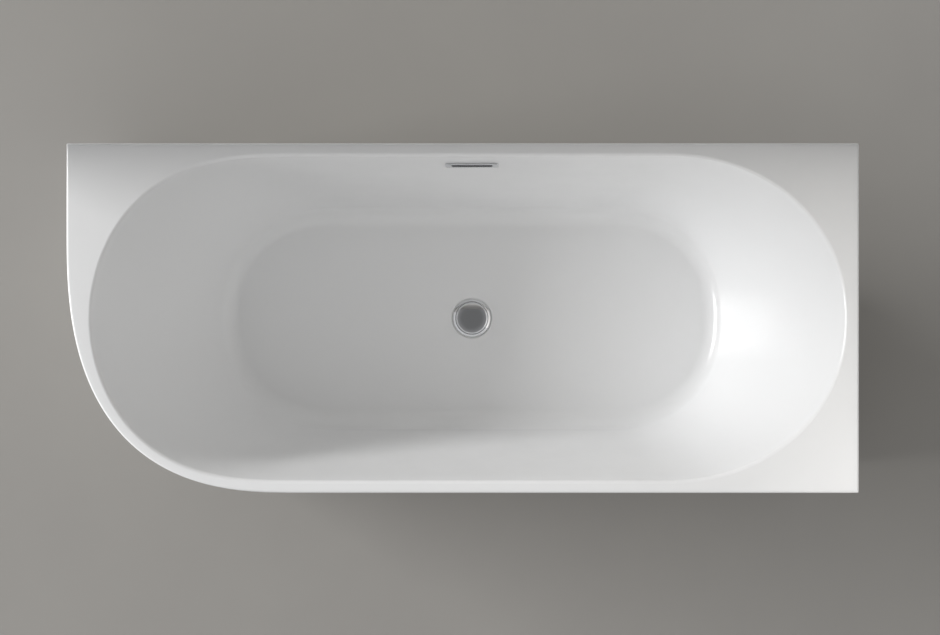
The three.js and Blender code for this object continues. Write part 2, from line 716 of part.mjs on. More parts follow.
function boxTube(length) {
  const shape = new THREE.Shape(rectangle(TUBE_SIZE, TUBE_SIZE));
  const bore = TUBE_SIZE - 2 * TUBE_WALL;
  shape.holes.push(new THREE.Path(rectangle(bore, bore)));
  return extruded(shape, length).translate(0, 0, -length / 2);
}

function makeRail(name, y) {
  const length = RAIL_RIGHT - RAIL_LEFT;
  const rail = boxTube(length).rotateY(Math.PI / 2);
  add(name, rail, STEEL()).position.set((RAIL_LEFT + RAIL_RIGHT) / 2, y, RAIL_TOP - TUBE_SIZE / 2);
}

// A cross bar with a hole through its underside for each foot's stud.
function makeCrossBar(name, x, footPlaces) {
  const bar = boxTube(CROSS_LENGTH).rotateX(Math.PI / 2);
  let solid = toSolid(bar.translate(0, 0, TUBE_SIZE / 2));
  footPlaces.forEach((y) => {
    const hole = post(STUD_RADIUS + 2 * SEAT_GAP, -TUBE_WALL, 2 * TUBE_WALL).translate(0, y, 0);
    solid = solid.subtract(toSolid(hole));
  });
  add(name, fromSolid(solid), STEEL()).position.set(x, 0, CROSS_BOTTOM);
}

// Levelling feet: a pad that rests on the floor, a stud that turns in it and a nut on the bar.

const FOOT_REACH = CROSS_LENGTH / 2 - FOOT_INSET;
const FEET = {
  front_left: [CROSS_LEFT, -FOOT_REACH],
  back_left: [CROSS_LEFT, FOOT_REACH],
  middle: [CROSS_MIDDLE, 0],
  front_right: [CROSS_RIGHT, -FOOT_REACH],
  back_right: [CROSS_RIGHT, FOOT_REACH],
};

function makeFoot(place, x, y) {
  const foot = new THREE.Group();
  foot.position.set(x, y, 0);
  bathtub.add(foot);

  const socketFloor = PAD_HEIGHT - STUD_SOCKET_DEPTH;
  const pad = revolved([
    [0, 0], [PAD_RADIUS, 0], [PAD_RADIUS, PAD_FLANGE], [PAD_NECK_RADIUS, PAD_HEIGHT],
    [STUD_BALL_RADIUS + SEAT_GAP, PAD_HEIGHT], [STUD_BALL_RADIUS + SEAT_GAP, socketFloor],
    [0, socketFloor],
  ], SMALL_ROUND_STEPS);
  add(`foot_pad_${place}`, pad, DARK_PLASTIC(), foot);

  const ballBottom = socketFloor + SEAT_GAP;
  const hexBottom = PAD_HEIGHT + 2 * SEAT_GAP;
  const hexTop = hexBottom + STUD_HEX_HEIGHT;
  const studTop = CROSS_TOP - TUBE_WALL - FOOT_RETRACT - 2 * SEAT_GAP;
  const ball = toSolid(post(STUD_BALL_RADIUS, ballBottom, hexTop));
  const hex = toSolid(extruded(new THREE.Shape(polygon(STUD_HEX_RADIUS, 6)), STUD_HEX_HEIGHT)
    .translate(0, 0, hexBottom));
  const thread = toSolid(post(STUD_RADIUS, ballBottom, studTop));
  const stud = fromSolid(ball.add(hex).add(thread));
  add(`foot_stud_${place}`, stud, STEEL(), foot);

  const nutTop = CROSS_BOTTOM - SEAT_GAP;
  const nutShape = new THREE.Shape(polygon(NUT_RADIUS, 6));
  nutShape.holes.push(new THREE.Path(polygon(STUD_RADIUS + 2 * SEAT_GAP, SMALL_ROUND_STEPS)));
  const nut = extruded(nutShape, NUT_HEIGHT).translate(0, 0, nutTop - NUT_HEIGHT);
  add(`foot_nut_${place}`, nut, STEEL(), foot);
}

// Skirt brackets: bent straps from the top of the frame down to the skirt's bottom flange.

// The strap laps the frame to the right of zero and runs towards -X, then down onto the flange.
function strap(reach, tubeTop) {
  const t = BRACKET_SHEET;
  const low = tubeTop + SEAT_GAP;
  const bottom = SKIRT_FLOOR_GAP + SKIRT_WALL + SEAT_GAP;
  const riser = reach - BRACKET_FOOT;
  const side = new THREE.Shape([
    [BRACKET_LAP, low], [BRACKET_LAP, low + t], [-riser - t, low + t], [-riser - t, bottom + t],
    [-reach, bottom + t], [-reach, bottom], [-riser, bottom], [-riser, low],
  ].map(([x, y]) => new THREE.Vector2(x, y)));
  return extruded(side, BRACKET_WIDTH).translate(0, 0, -BRACKET_WIDTH / 2).rotateX(Math.PI / 2);
}

// Plan distance from the rim's outline to the inner face of the skirt's foot.
const SKIRT_FOOT_INSET = skirtInset(SKIRT_FLOOR_GAP) + SKIRT_WALL + BRACKET_CLEARANCE;

// Inner face of the skirt's foot on the left, at a given place across the bath.
function footFaceLeft(y) {
  const down = Math.max(ROUND_CENTRE.y - y, 0) / ROUND_CORNER_WIDTH;
  const across = (1 - down ** ROUND_CORNER_POWER) ** (1 / ROUND_CORNER_POWER);
  const x = ROUND_CENTRE.x - ROUND_CORNER_LENGTH * across;
  return x - SKIRT_FOOT_INSET / roundCornerOutward(x, y).x;
}

// The same at the front, at a given place along the bath.
function footFaceFront(x) {
  const across = Math.max(ROUND_CENTRE.x - x, 0) / ROUND_CORNER_LENGTH;
  const down = (1 - across ** ROUND_CORNER_POWER) ** (1 / ROUND_CORNER_POWER);
  const y = ROUND_CENTRE.y - ROUND_CORNER_WIDTH * down;
  return y - SKIRT_FOOT_INSET / roundCornerOutward(x, y).y;
}

function makeBrackets() {
  const half = BRACKET_WIDTH / 2;
  const leftEnds = { left_back: RAIL_SPREAD, left_front: -RAIL_SPREAD };
  Object.entries(leftEnds).forEach(([place, y]) => {
    const reach = RAIL_LEFT - Math.max(footFaceLeft(y - half), footFaceLeft(y + half));
    const bracket = add(`skirt_bracket_${place}`, strap(reach, RAIL_TOP), STEEL());
    bracket.position.set(RAIL_LEFT, y, 0);
  });
  const frontEnds = { front_left: CROSS_LEFT, front_middle: CROSS_MIDDLE, front_right: CROSS_RIGHT };
  const barEnd = -CROSS_LENGTH / 2;
  Object.entries(frontEnds).forEach(([place, x]) => {
    const reach = barEnd - Math.max(footFaceFront(x - half), footFaceFront(x + half));
    const bracket = add(`skirt_bracket_${place}`, strap(reach, CROSS_TOP), STEEL());
    bracket.position.set(x, barEnd, 0);
    bracket.rotation.z = Math.PI / 2;
  });
}

// Waste fitting, in a group whose zero height is the recess that the flange sits in.

function makeWaste() {
  const waste = new THREE.Group();
  waste.position.set(DRAIN_X, 0, FLANGE_SEAT_Z);
  bathtub.add(waste);

  const tailBore = TAIL_RADIUS - TAIL_WALL;
  const flangeBottom = WASHER_THICKNESS + 2 * SEAT_GAP;
  const seat = flangeBottom + FLANGE_THICKNESS - FLANGE_SEAT_DEPTH;
  const lip = flangeBottom + FLANGE_THICKNESS;
  const tailEnd = -TAIL_LENGTH;
  const body = revolved([
    [TAIL_RADIUS, tailEnd], [TAIL_RADIUS, flangeBottom], [FLANGE_RADIUS, flangeBottom],
    [FLANGE_RADIUS, seat], [FLANGE_RADIUS - FLANGE_BEAD / 3, lip],
    [FLANGE_RADIUS - FLANGE_BEAD, lip], [FLANGE_RADIUS - FLANGE_BEAD - FLANGE_SEAT_DEPTH, seat],
    [TAIL_RADIUS, seat], [tailBore, flangeBottom - TAIL_WALL], [tailBore, tailEnd],
  ]);
  const hubRadius = CARTRIDGE_RADIUS + TAIL_WALL;
  const hub = revolved([
    [CARTRIDGE_RADIUS + SEAT_GAP, -WEB_DROP - WEB_DEPTH], [hubRadius, -WEB_DROP - WEB_DEPTH],
    [hubRadius, -WEB_DROP], [CARTRIDGE_RADIUS + SEAT_GAP, -WEB_DROP],
  ], SMALL_ROUND_STEPS);
  let flange = toSolid(body).add(toSolid(hub));
  const armStart = CARTRIDGE_RADIUS + TAIL_WALL / 2;
  const armLength = tailBore + TAIL_WALL / 2 - armStart;
  for (let i = 0; i < WEB_ARMS; i += 1) {
    const arm = new THREE.BoxGeometry(armLength, WEB_ARM, WEB_DEPTH)
      .translate(armStart + armLength / 2, 0, -WEB_DROP - WEB_DEPTH / 2)
      .rotateZ((i / WEB_ARMS) * 2 * Math.PI);
    flange = flange.add(toSolid(arm));
  }
  add('drain_flange', fromSolid(flange), CHROME(), waste);

  const washer = revolved([
    [DRAIN_HOLE_RADIUS + FLANGE_BEAD, SEAT_GAP], [FLANGE_RADIUS - FLANGE_BEAD, SEAT_GAP],
    [FLANGE_RADIUS - FLANGE_BEAD, flangeBottom - SEAT_GAP],
    [DRAIN_HOLE_RADIUS + FLANGE_BEAD, flangeBottom - SEAT_GAP],
  ]);
  add('drain_washer', washer, RUBBER(), waste);

  const collarBottom = -WEB_DROP + SEAT_GAP;
  const collarTop = collarBottom + CARTRIDGE_COLLAR_HEIGHT;
  const barrelBottom = collarTop - 2 * CARTRIDGE_END - SPRING_LENGTH - PLUNGER_PISTON_HEIGHT
    - PLUG_TRAVEL - 4 * SEAT_GAP;
  const cartridge = revolved([
    [0, barrelBottom], [CARTRIDGE_RADIUS, barrelBottom], [CARTRIDGE_RADIUS, collarBottom],
    [CARTRIDGE_COLLAR, collarBottom], [CARTRIDGE_COLLAR, collarTop], [CARTRIDGE_NECK, collarTop],
    [CARTRIDGE_NECK, collarTop - CARTRIDGE_END], [CARTRIDGE_BORE, collarTop - CARTRIDGE_END],
    [CARTRIDGE_BORE, barrelBottom + CARTRIDGE_END], [0, barrelBottom + CARTRIDGE_END],
  ], SMALL_ROUND_STEPS);
  add('plug_cartridge', cartridge, DARK_PLASTIC(), waste);

  const capBottom = seat + SEAL_THICKNESS + 2 * SEAT_GAP;
  const pistonBottom = barrelBottom + CARTRIDGE_END + SPRING_LENGTH + 2 * SEAT_GAP;
  const pistonTop = pistonBottom + PLUNGER_PISTON_HEIGHT;
  const plunger = revolved([
    [0, pistonBottom], [PLUNGER_PISTON, pistonBottom], [PLUNGER_PISTON, pistonTop],
    [PLUNGER_ROD, pistonTop], [PLUNGER_ROD, capBottom - SEAT_GAP], [0, capBottom - SEAT_GAP],
  ], SMALL_ROUND_STEPS);
  add('plug_plunger', plunger, STEEL(), waste);

  const domeSteps = [0, 1 / 3, 2 / 3, 1];
  const dome = domeSteps.map((share) => {
    const turn = share * (Math.PI / 2);
    return [CAP_RADIUS * Math.cos(turn), capBottom + CAP_EDGE + CAP_DOME * Math.sin(turn)];
  });
  const cap = revolved([[0, capBottom], [CAP_RADIUS, capBottom], ...dome.slice(0, -1),
    [0, capBottom + CAP_EDGE + CAP_DOME]]);
  add('plug_cap', cap, CHROME(), waste);

  const seal = revolved([
    [SEAL_INNER_RADIUS, seat + SEAT_GAP], [SEAL_OUTER_RADIUS, seat + SEAT_GAP],
    [SEAL_OUTER_RADIUS, capBottom - SEAT_GAP], [SEAL_INNER_RADIUS, capBottom - SEAT_GAP],
  ]);
  add('plug_seal', seal, RUBBER(), waste);

  const springBottom = barrelBottom + CARTRIDGE_END + SEAT_GAP;
  add('plug_spring', coil(springBottom), STEEL(), waste);
}

// A compression spring as one unbroken tube round the upright axis.
function coil(bottom) {
  const sides = 5;
  const stepsPerTurn = 8;
  const radius = (CARTRIDGE_BORE + PLUNGER_ROD) / 2;
  const steps = SPRING_TURNS * stepsPerTurn;
  const climb = SPRING_LENGTH - 2 * SPRING_WIRE;
  const places = [];
  const centres = [];
  for (let i = 0; i <= steps; i += 1) {
    const angle = (i / stepsPerTurn) * 2 * Math.PI;
    const height = bottom + SPRING_WIRE + climb * (i / steps);
    centres.push(new THREE.Vector3(radius * Math.cos(angle), radius * Math.sin(angle), height));
    for (let k = 0; k < sides; k += 1) {
      const turn = (k / sides) * 2 * Math.PI;
      const reach = radius + SPRING_WIRE * Math.cos(turn);
      places.push(reach * Math.cos(angle), reach * Math.sin(angle), height + SPRING_WIRE * Math.sin(turn));
    }
  }
  let gap = Infinity;
  for (let i = 0; i + stepsPerTurn <= steps; i += 1) {
    gap = Math.min(gap, centres[i].distanceTo(centres[i + stepsPerTurn]) - 2 * SPRING_WIRE);
  }
  console.log(`plug spring: least gap between turns ${gap.toFixed(2)} mm`);
  return tubeSkin(places, steps, sides);
}

// Joins rings of equal count into one tube with closed ends.
function tubeSkin(places, steps, sides) {
  const index = [];
  for (let i = 0; i < steps; i += 1) {
    for (let k = 0; k < sides; k += 1) {
      const j = (k + 1) % sides;
      const [a, b] = [i * sides + k, i * sides + j];
      index.push(a, b, b + sides, a, b + sides, a + sides);
    }
  }
  for (let k = 1; k + 1 < sides; k += 1) {
    index.push(0, k + 1, k);
    index.push(steps * sides, steps * sides + k, steps * sides + k + 1);
  }
  const geometry = new THREE.BufferGeometry();
  geometry.setAttribute('position', new THREE.Float32BufferAttribute(places, 3));
  geometry.setIndex(index);
  return geometry;
}

// Waste body and trap, placed from the floor under the drain.

const BODY_TOP = RECESS_UNDERSIDE - GASKET_THICKNESS - 2 * SEAT_GAP;
const BODY_BOTTOM = BODY_TOP - BODY_LENGTH;

function sidePipe(outer, from, to, height, steps = SMALL_ROUND_STEPS) {
  return new THREE.CylinderGeometry(outer, outer, to - from, steps).translate(0, (from + to) / 2, height);
}

function makeWasteBody() {
  const under = new THREE.Group();
  under.position.x = DRAIN_X;
  bathtub.add(under);

  const gasketTop = RECESS_UNDERSIDE - SEAT_GAP;
  const gasket = revolved([
    [DRAIN_HOLE_RADIUS, gasketTop - GASKET_THICKNESS], [BODY_FLANGE_RADIUS, gasketTop - GASKET_THICKNESS],
    [BODY_FLANGE_RADIUS, gasketTop], [DRAIN_HOLE_RADIUS, gasketTop],
  ]);
  add('drain_gasket', gasket, RUBBER(), under);

  const tubeBore = BODY_RADIUS - BODY_WALL;
  const tailBore = BODY_TAIL_RADIUS - BODY_WALL;
  const throat = TAIL_RADIUS + 2 * SEAT_GAP;
  const flangeBottom = BODY_TOP - BODY_FLANGE_THICKNESS;
  const tailTop = BODY_BOTTOM + BODY_TAIL_LENGTH;
  const shell = toSolid(revolved([
    [tailBore, BODY_BOTTOM], [BODY_TAIL_RADIUS, BODY_BOTTOM], [BODY_TAIL_RADIUS, tailTop],
    [BODY_RADIUS, tailTop + BODY_WALL], [BODY_RADIUS, flangeBottom], [BODY_FLANGE_RADIUS, flangeBottom],
    [BODY_FLANGE_RADIUS, BODY_TOP], [throat, BODY_TOP], [throat, flangeBottom],
    [tubeBore, flangeBottom - BODY_WALL], [tubeBore, tailTop + 2 * BODY_WALL], [tailBore, tailTop],
  ]));
  const spigot = toSolid(sidePipe(SPIGOT_RADIUS, BODY_RADIUS - BODY_WALL / 2,
    BODY_RADIUS + SPIGOT_LENGTH, SPIGOT_HEIGHT));
  const bore = toSolid(sidePipe(SPIGOT_BORE, 0, BODY_RADIUS + SPIGOT_LENGTH + CUT_OVERRUN,
    SPIGOT_HEIGHT));
  add('waste_body', fromSolid(shell.add(spigot).subtract(bore)), PLASTIC(), under);

  const trapTop = TRAP_BASE + TRAP_HEIGHT;
  const nutShape = new THREE.Shape(polygon(TRAP_NUT_RADIUS, 12));
  nutShape.holes.push(new THREE.Path(polygon(BODY_TAIL_RADIUS + 2 * SEAT_GAP, ROUND_STEPS)));
  const nut = extruded(nutShape, TRAP_NUT_HEIGHT).translate(0, 0, trapTop + SEAT_GAP);
  add('trap_nut', nut, PLASTIC(), under);

  const mouth = BODY_TAIL_RADIUS + 2 * SEAT_GAP;
  const cup = toSolid(revolved([
    [0, TRAP_BASE], [TRAP_RADIUS - TRAP_WALL, TRAP_BASE], [TRAP_RADIUS, TRAP_BASE + TRAP_WALL],
    [TRAP_RADIUS, trapTop - TRAP_WALL], [TRAP_RADIUS - TRAP_WALL, trapTop], [mouth, trapTop],
    [mouth, trapTop - TRAP_WALL], [TRAP_RADIUS - TRAP_WALL, trapTop - TRAP_WALL],
    [TRAP_RADIUS - TRAP_WALL, TRAP_BASE + TRAP_WALL], [0, TRAP_BASE + TRAP_WALL],
  ]));
  const outlet = toSolid(sidePipe(OUTLET_SPIGOT_RADIUS, TRAP_RADIUS - TRAP_WALL / 2,
    TRAP_RADIUS + OUTLET_SPIGOT_LENGTH, OUTLET_HEIGHT));
  const outletBore = toSolid(sidePipe(OUTLET_SPIGOT_BORE, TRAP_RADIUS - 2 * TRAP_WALL,
    TRAP_RADIUS + OUTLET_SPIGOT_LENGTH + CUT_OVERRUN, OUTLET_HEIGHT));
  add('trap_body', fromSolid(cup.add(outlet).subtract(outletBore)), PLASTIC(), under);
}

// Outlet pipe from the trap to the back wall, held by a nut on the trap's outlet.

function makeOutlet() {
  const outlet = new THREE.Group();
  outlet.position.set(DRAIN_X, 0, OUTLET_HEIGHT);
  bathtub.add(outlet);
  const spigotEnd = TRAP_RADIUS + OUTLET_SPIGOT_LENGTH;
  const pipeStart = spigotEnd - OUTLET_SPIGOT_LENGTH / 2;
  const alongY = (geometry, start) => geometry.rotateX(-Math.PI / 2).translate(0, start, 0);

  const pipe = new THREE.Shape(polygon(OUTLET_RADIUS, ROUND_STEPS));
  pipe.holes.push(new THREE.Path(polygon(OUTLET_SPIGOT_RADIUS + SEAT_GAP, ROUND_STEPS)));
  add('outlet_pipe', alongY(extruded(pipe, OUTLET_PIPE_END - pipeStart), pipeStart), PLASTIC(), outlet);

  const nutStart = pipeStart - OUTLET_NUT_LENGTH / 2;
  const nut = revolved([
    [OUTLET_SPIGOT_RADIUS + SEAT_GAP, 0], [OUTLET_NUT_RADIUS, 0],
    [OUTLET_NUT_RADIUS, OUTLET_NUT_LENGTH], [OUTLET_RADIUS + SEAT_GAP, OUTLET_NUT_LENGTH],
    [OUTLET_RADIUS + SEAT_GAP, OUTLET_NUT_LENGTH / 2 - SEAT_GAP],
    [OUTLET_SPIGOT_RADIUS + SEAT_GAP, OUTLET_NUT_LENGTH / 2 - SEAT_GAP],
  ]);
  add('outlet_nut', alongY(nut, nutStart), PLASTIC(), outlet);
}

// Overflow: a chrome cover and its neck through the wall, with gasket and chamber behind.

// Heights in the cover's frame, where zero is the basin's surface.
const WALL_BACK = -SHELL_WALL - SEAT_GAP;
const CHAMBER_FRONT = WALL_BACK - OVERFLOW_GASKET_THICKNESS - SEAT_GAP;
const CHAMBER_MIDDLE = CHAMBER_FRONT - CHAMBER_DEPTH / 2;

function slab(shape, hole, from, to) {
  if (hole) shape.holes.push(new THREE.Path(hole));
  return extruded(shape, to - from).translate(0, 0, from);
}

function makeOverflow() {
  const overflow = overflowGroup();
  bathtub.add(overflow);
  const slot = rectangle(COVER_SLOT_WIDTH, COVER_SLOT_HEIGHT);
  const neckEnd = CHAMBER_FRONT + SEAT_GAP - SHELL_WALL / 2;
  const plate = slab(roundedRectangle(COVER_WIDTH, COVER_HEIGHT, COVER_CORNER), slot, SEAT_GAP,
    SEAT_GAP + COVER_THICKNESS);
  const neck = slab(new THREE.Shape(rectangle(COVER_NECK_WIDTH, COVER_NECK_HEIGHT)), slot, neckEnd,
    SEAT_GAP + COVER_THICKNESS / 2);
  add('overflow_cover', fromSolid(toSolid(plate).add(toSolid(neck))), CHROME(), overflow);

  const throat = [COVER_NECK_WIDTH + 2 * SLOT_CLEARANCE, COVER_NECK_HEIGHT + 2 * SLOT_CLEARANCE];
  const gasket = slab(
    roundedRectangle(throat[0] + 2 * OVERFLOW_GASKET_BORDER, throat[1] + 2 * OVERFLOW_GASKET_BORDER,
      COVER_CORNER),
    rectangle(...throat), WALL_BACK - OVERFLOW_GASKET_THICKNESS, WALL_BACK);
  add('overflow_gasket', gasket, RUBBER(), overflow);

  const chamberBack = CHAMBER_FRONT - CHAMBER_DEPTH;
  const box = toSolid(slab(roundedRectangle(CHAMBER_WIDTH, CHAMBER_HEIGHT, COVER_CORNER), null,
    chamberBack, CHAMBER_FRONT));
  const inside = toSolid(slab(new THREE.Shape(rectangle(throat[0], throat[1])), null,
    chamberBack + CHAMBER_WALL, CHAMBER_FRONT + CUT_OVERRUN));
  const place = overflow.matrixWorld;
  const back = overflow.matrixWorld.clone().invert();
  const foot = new THREE.Vector3(0, 0, CHAMBER_MIDDLE).applyMatrix4(place);
  const chamberFoot = foot.z - CHAMBER_HEIGHT / 2;
  const spigotEnd = chamberFoot - CHAMBER_SPIGOT_LENGTH;
  const spigot = post(SPIGOT_RADIUS, spigotEnd, chamberFoot + CHAMBER_WALL)
    .translate(foot.x, foot.y, 0).applyMatrix4(back);
  const bore = post(SPIGOT_BORE, spigotEnd - CUT_OVERRUN, foot.z - throat[1] / 4)
    .translate(foot.x, foot.y, 0).applyMatrix4(back);
  const chamber = box.add(toSolid(spigot)).subtract(inside).subtract(toSolid(bore));
  add('overflow_chamber', fromSolid(chamber), PLASTIC(), overflow);
  return new THREE.Vector3(foot.x, foot.y, spigotEnd);
}

// Ribbed hose: down from the chamber's spigot, round one wide bend and onto the waste body's.

function hoseRoute(top) {
  const start = new THREE.Vector3(top.x, top.y, top.z + HOSE_LAP);
  const bendTop = SPIGOT_HEIGHT + HOSE_BEND_RADIUS;
  const end = new THREE.Vector3(DRAIN_X, BODY_RADIUS + SPIGOT_LENGTH - HOSE_LAP, SPIGOT_HEIGHT);
  const down = start.z - bendTop;
  const arc = HOSE_BEND_RADIUS * (Math.PI / 2);
  const back = start.y - HOSE_BEND_RADIUS - end.y;
  const length = down + arc + back;
  const at = (distance) => {
    if (distance <= down) {
      return { turn: 0, place: new THREE.Vector3(start.x, start.y, start.z - distance) };
    }
    const turn = Math.min((distance - down) / HOSE_BEND_RADIUS, Math.PI / 2);
    const along = Math.max(distance - down - arc, 0);
    const place = new THREE.Vector3(start.x,
      start.y - HOSE_BEND_RADIUS * (1 - Math.cos(turn)) - along,
      bendTop - HOSE_BEND_RADIUS * Math.sin(turn));
    return { turn, place };
  };
  return { length, at };
}

function makeHose(top) {
  const route = hoseRoute(top);
  const ring = (distance, radius) => {
    const { turn, place } = route.at(distance);
    const side = new THREE.Vector3(1, 0, 0);
    const across = new THREE.Vector3(0, Math.cos(turn), -Math.sin(turn));
    return polygon(radius, HOSE_SIDES).map((p) => place.clone()
      .addScaledVector(side, p.x).addScaledVector(across, p.y));
  };
  const cuff = 2 * HOSE_RADIUS;
  const pitch = (route.length - 2 * cuff) / HOSE_RIBS;
  const outer = [ring(0, HOSE_RADIUS), ring(cuff, HOSE_RADIUS)];
  for (let i = 0; i < HOSE_RIBS; i += 1) {
    outer.push(ring(cuff + (i + 0.5) * pitch, HOSE_ROOT_RADIUS));
    outer.push(ring(cuff + (i + 1) * pitch, HOSE_RADIUS));
  }
  outer.push(ring(route.length, HOSE_RADIUS));
  const bore = [ring(0, HOSE_BORE), ring(cuff, HOSE_BORE)];
  for (let i = HOSE_RIBS_PER_BORE_RING; i < HOSE_RIBS; i += HOSE_RIBS_PER_BORE_RING) {
    bore.push(ring(cuff + i * pitch, HOSE_BORE));
  }
  bore.push(ring(route.length - cuff, HOSE_BORE), ring(route.length, HOSE_BORE));
  add('overflow_hose', ringSkin([...outer, ...bore.reverse()]), DARK_PLASTIC());

  const samples = outer.map((points) => points[0]);
  const apart = Math.ceil((4 * HOSE_RADIUS) / pitch);
  let gap = Infinity;
  samples.forEach((p, i) => samples.slice(i + 2 * apart).forEach((q) => {
    gap = Math.min(gap, p.distanceTo(q) - 2 * HOSE_RADIUS);
  }));
  console.log(`overflow hose: length ${route.length.toFixed(0)} mm`);
  console.log(`overflow hose: least gap to itself ${gap.toFixed(1)} mm`);

  const clip = () => revolved([
    [HOSE_RADIUS + SEAT_GAP, -CLIP_LENGTH / 2], [CLIP_RADIUS, -CLIP_LENGTH / 2],
    [CLIP_RADIUS, CLIP_LENGTH / 2], [HOSE_RADIUS + SEAT_GAP, CLIP_LENGTH / 2],
  ], 2 * HOSE_SIDES);
  const clipPlaces = { upper: CLIP_LENGTH, lower: route.length - CLIP_LENGTH };
  Object.entries(clipPlaces).forEach(([place, distance]) => {
    const spot = route.at(distance);
    const mesh = add(`hose_clip_${place}`, clip(), STEEL());
    mesh.position.copy(spot.place);
    mesh.rotation.x = spot.turn;
  });
}

makeShell();
makeSkirt();
makeBaseBoard();
makeCornerBoard('corner_board_back_left', -1, 1);
makeCornerBoard('corner_board_back_right', 1, 1);
makeCornerBoard('corner_board_front_right', 1, -1);
makeRail('rail_front', -RAIL_SPREAD);
makeRail('rail_back', RAIL_SPREAD);
makeCrossBar('cross_bar_left', CROSS_LEFT, [-FOOT_REACH, FOOT_REACH]);
makeCrossBar('cross_bar_middle', CROSS_MIDDLE, [0]);
makeCrossBar('cross_bar_right', CROSS_RIGHT, [-FOOT_REACH, FOOT_REACH]);
Object.entries(FEET).forEach(([place, [x, y]]) => makeFoot(place, x, y));
makeBrackets();
makeWaste();
makeWasteBody();
makeOutlet();
makeHose(makeOverflow());

export default bathtub;
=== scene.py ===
"""Looks of the freestanding corner bathtub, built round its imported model. Metres, +Z up."""

import json
import math

import bmesh
import bpy
import numpy as np
from mathutils import Euler, Matrix, Vector


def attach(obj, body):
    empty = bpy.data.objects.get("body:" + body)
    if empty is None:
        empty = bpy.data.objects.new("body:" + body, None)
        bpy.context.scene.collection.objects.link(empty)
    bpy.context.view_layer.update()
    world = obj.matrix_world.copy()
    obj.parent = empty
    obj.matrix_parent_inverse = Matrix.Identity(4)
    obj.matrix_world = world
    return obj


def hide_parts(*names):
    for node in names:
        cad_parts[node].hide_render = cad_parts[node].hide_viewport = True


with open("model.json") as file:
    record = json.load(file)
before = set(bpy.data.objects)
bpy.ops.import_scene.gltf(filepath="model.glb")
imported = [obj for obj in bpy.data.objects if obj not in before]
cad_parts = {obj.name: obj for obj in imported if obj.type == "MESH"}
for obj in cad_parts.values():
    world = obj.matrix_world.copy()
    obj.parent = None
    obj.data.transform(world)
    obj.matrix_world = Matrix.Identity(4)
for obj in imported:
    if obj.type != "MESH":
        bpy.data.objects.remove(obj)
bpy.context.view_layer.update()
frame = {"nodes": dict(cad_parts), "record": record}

MM = 0.001

# Photograph and camera
PHOTO_WIDTH_PX = 940
FOCAL_PX = 2146
SENSOR_WIDTH_MM = 36
CAMERA_X = 15.7 * MM
CAMERA_Y = 1.4 * MM
CAMERA_ABOVE_RIM = 4.6
CAMERA_REACH = 60

# Light and stage
KEY_DISTANCE = 30
KEY_ELEVATION = math.radians(20.5)
KEY_WIDTH = 21
KEY_HEIGHT = 5.1
KEY_TURN = math.radians(11)
KEY_POWER = 9700
KEY_SKIRT_POWER = 6400
SKY_STOPS = ((0.0, 0.32), (0.45, 0.32), (0.6, 0.58), (0.88, 0.62), (0.94, 0.35), (0.98, 0.15))
GROUND_REACH = 40
SCREEN_GAP = 6 * MM
SCREEN_HEIGHT = 1.6
SCREEN_PAST = 0.2
# Painted shade on the unseen wall screens, by share of their height above the rim. The back screen is dark just above
# the rim as painted contact shade. Both screens grow darker towards the top as painted shade.
BACK_WALL_PAINTED_SHADE = ((0.0, 0.08), (0.06, 0.12), (0.18, 0.95), (0.48, 0.95), (0.66, 0.45), (1.0, 0.32))
RIGHT_WALL_PAINTED_SHADE = ((0.0, 0.9), (0.2, 0.97), (0.7, 0.97), (1.0, 0.3))

# Rim and deck
RIM_LENGTH = 1700 * MM
RIM_WIDTH = 750 * MM
RIM_HEIGHT = 580 * MM
ROUND_CORNER_LENGTH = 493 * MM
ROUND_CORNER_WIDTH = 562 * MM
ROUND_CORNER_POWER = 2.64
SQUARE_CORNER_RADIUS = 3 * MM
RIM_EDGE_RADIUS = 5 * MM
LIP_HEIGHT = 26 * MM
LIP_FOOT_ROUND = 1.2 * MM
SHELL_WALL = 7 * MM

# Opening and floor
DECK_LEFT = 52 * MM
DECK_RIGHT = 28 * MM
DECK_BACK = 27 * MM
DECK_FRONT = 26 * MM
OPENING_LEFT_END = 451 * MM
OPENING_RIGHT_END = 385 * MM
OPENING_LEFT_POWERS = (2.97, 1.93)
OPENING_RIGHT_POWERS = (2.1, 2.1)
OPENING_FILLET = 10 * MM
FLOOR_HEIGHT = 150 * MM
FLOOR_FALL = 4 * MM
FLOOR_INSET_LEFT = 248 * MM
FLOOR_INSET_RIGHT = 234 * MM
FLOOR_INSET_SIDE = 99 * MM
FLOOR_LEFT_END = 285 * MM
FLOOR_RIGHT_END = 260 * MM
FLOOR_POWERS = (2.3, 2.2)
FLOOR_FILLET = 52 * MM

# Drain recess
DRAIN_X = 20 * MM
DRAIN_RECESS_RADIUS = 46 * MM
DRAIN_RECESS_DEPTH = 4 * MM
DRAIN_RECESS_DRAFT = 1.5 * MM
DRAIN_HOLE_RADIUS = 26 * MM
DRAIN_BOSS_MARGIN = 8 * MM

# Skirt
SKIRT_DRAFT = 20 * MM
SKIRT_WALL = 7 * MM
SKIRT_FLOOR_GAP = 12 * MM
SKIRT_FLANGE = 24 * MM
SKIRT_RETURN = 34 * MM
SKIRT_EDGE_RADIUS = 2 * MM

SEAT_GAP = 0.3 * MM

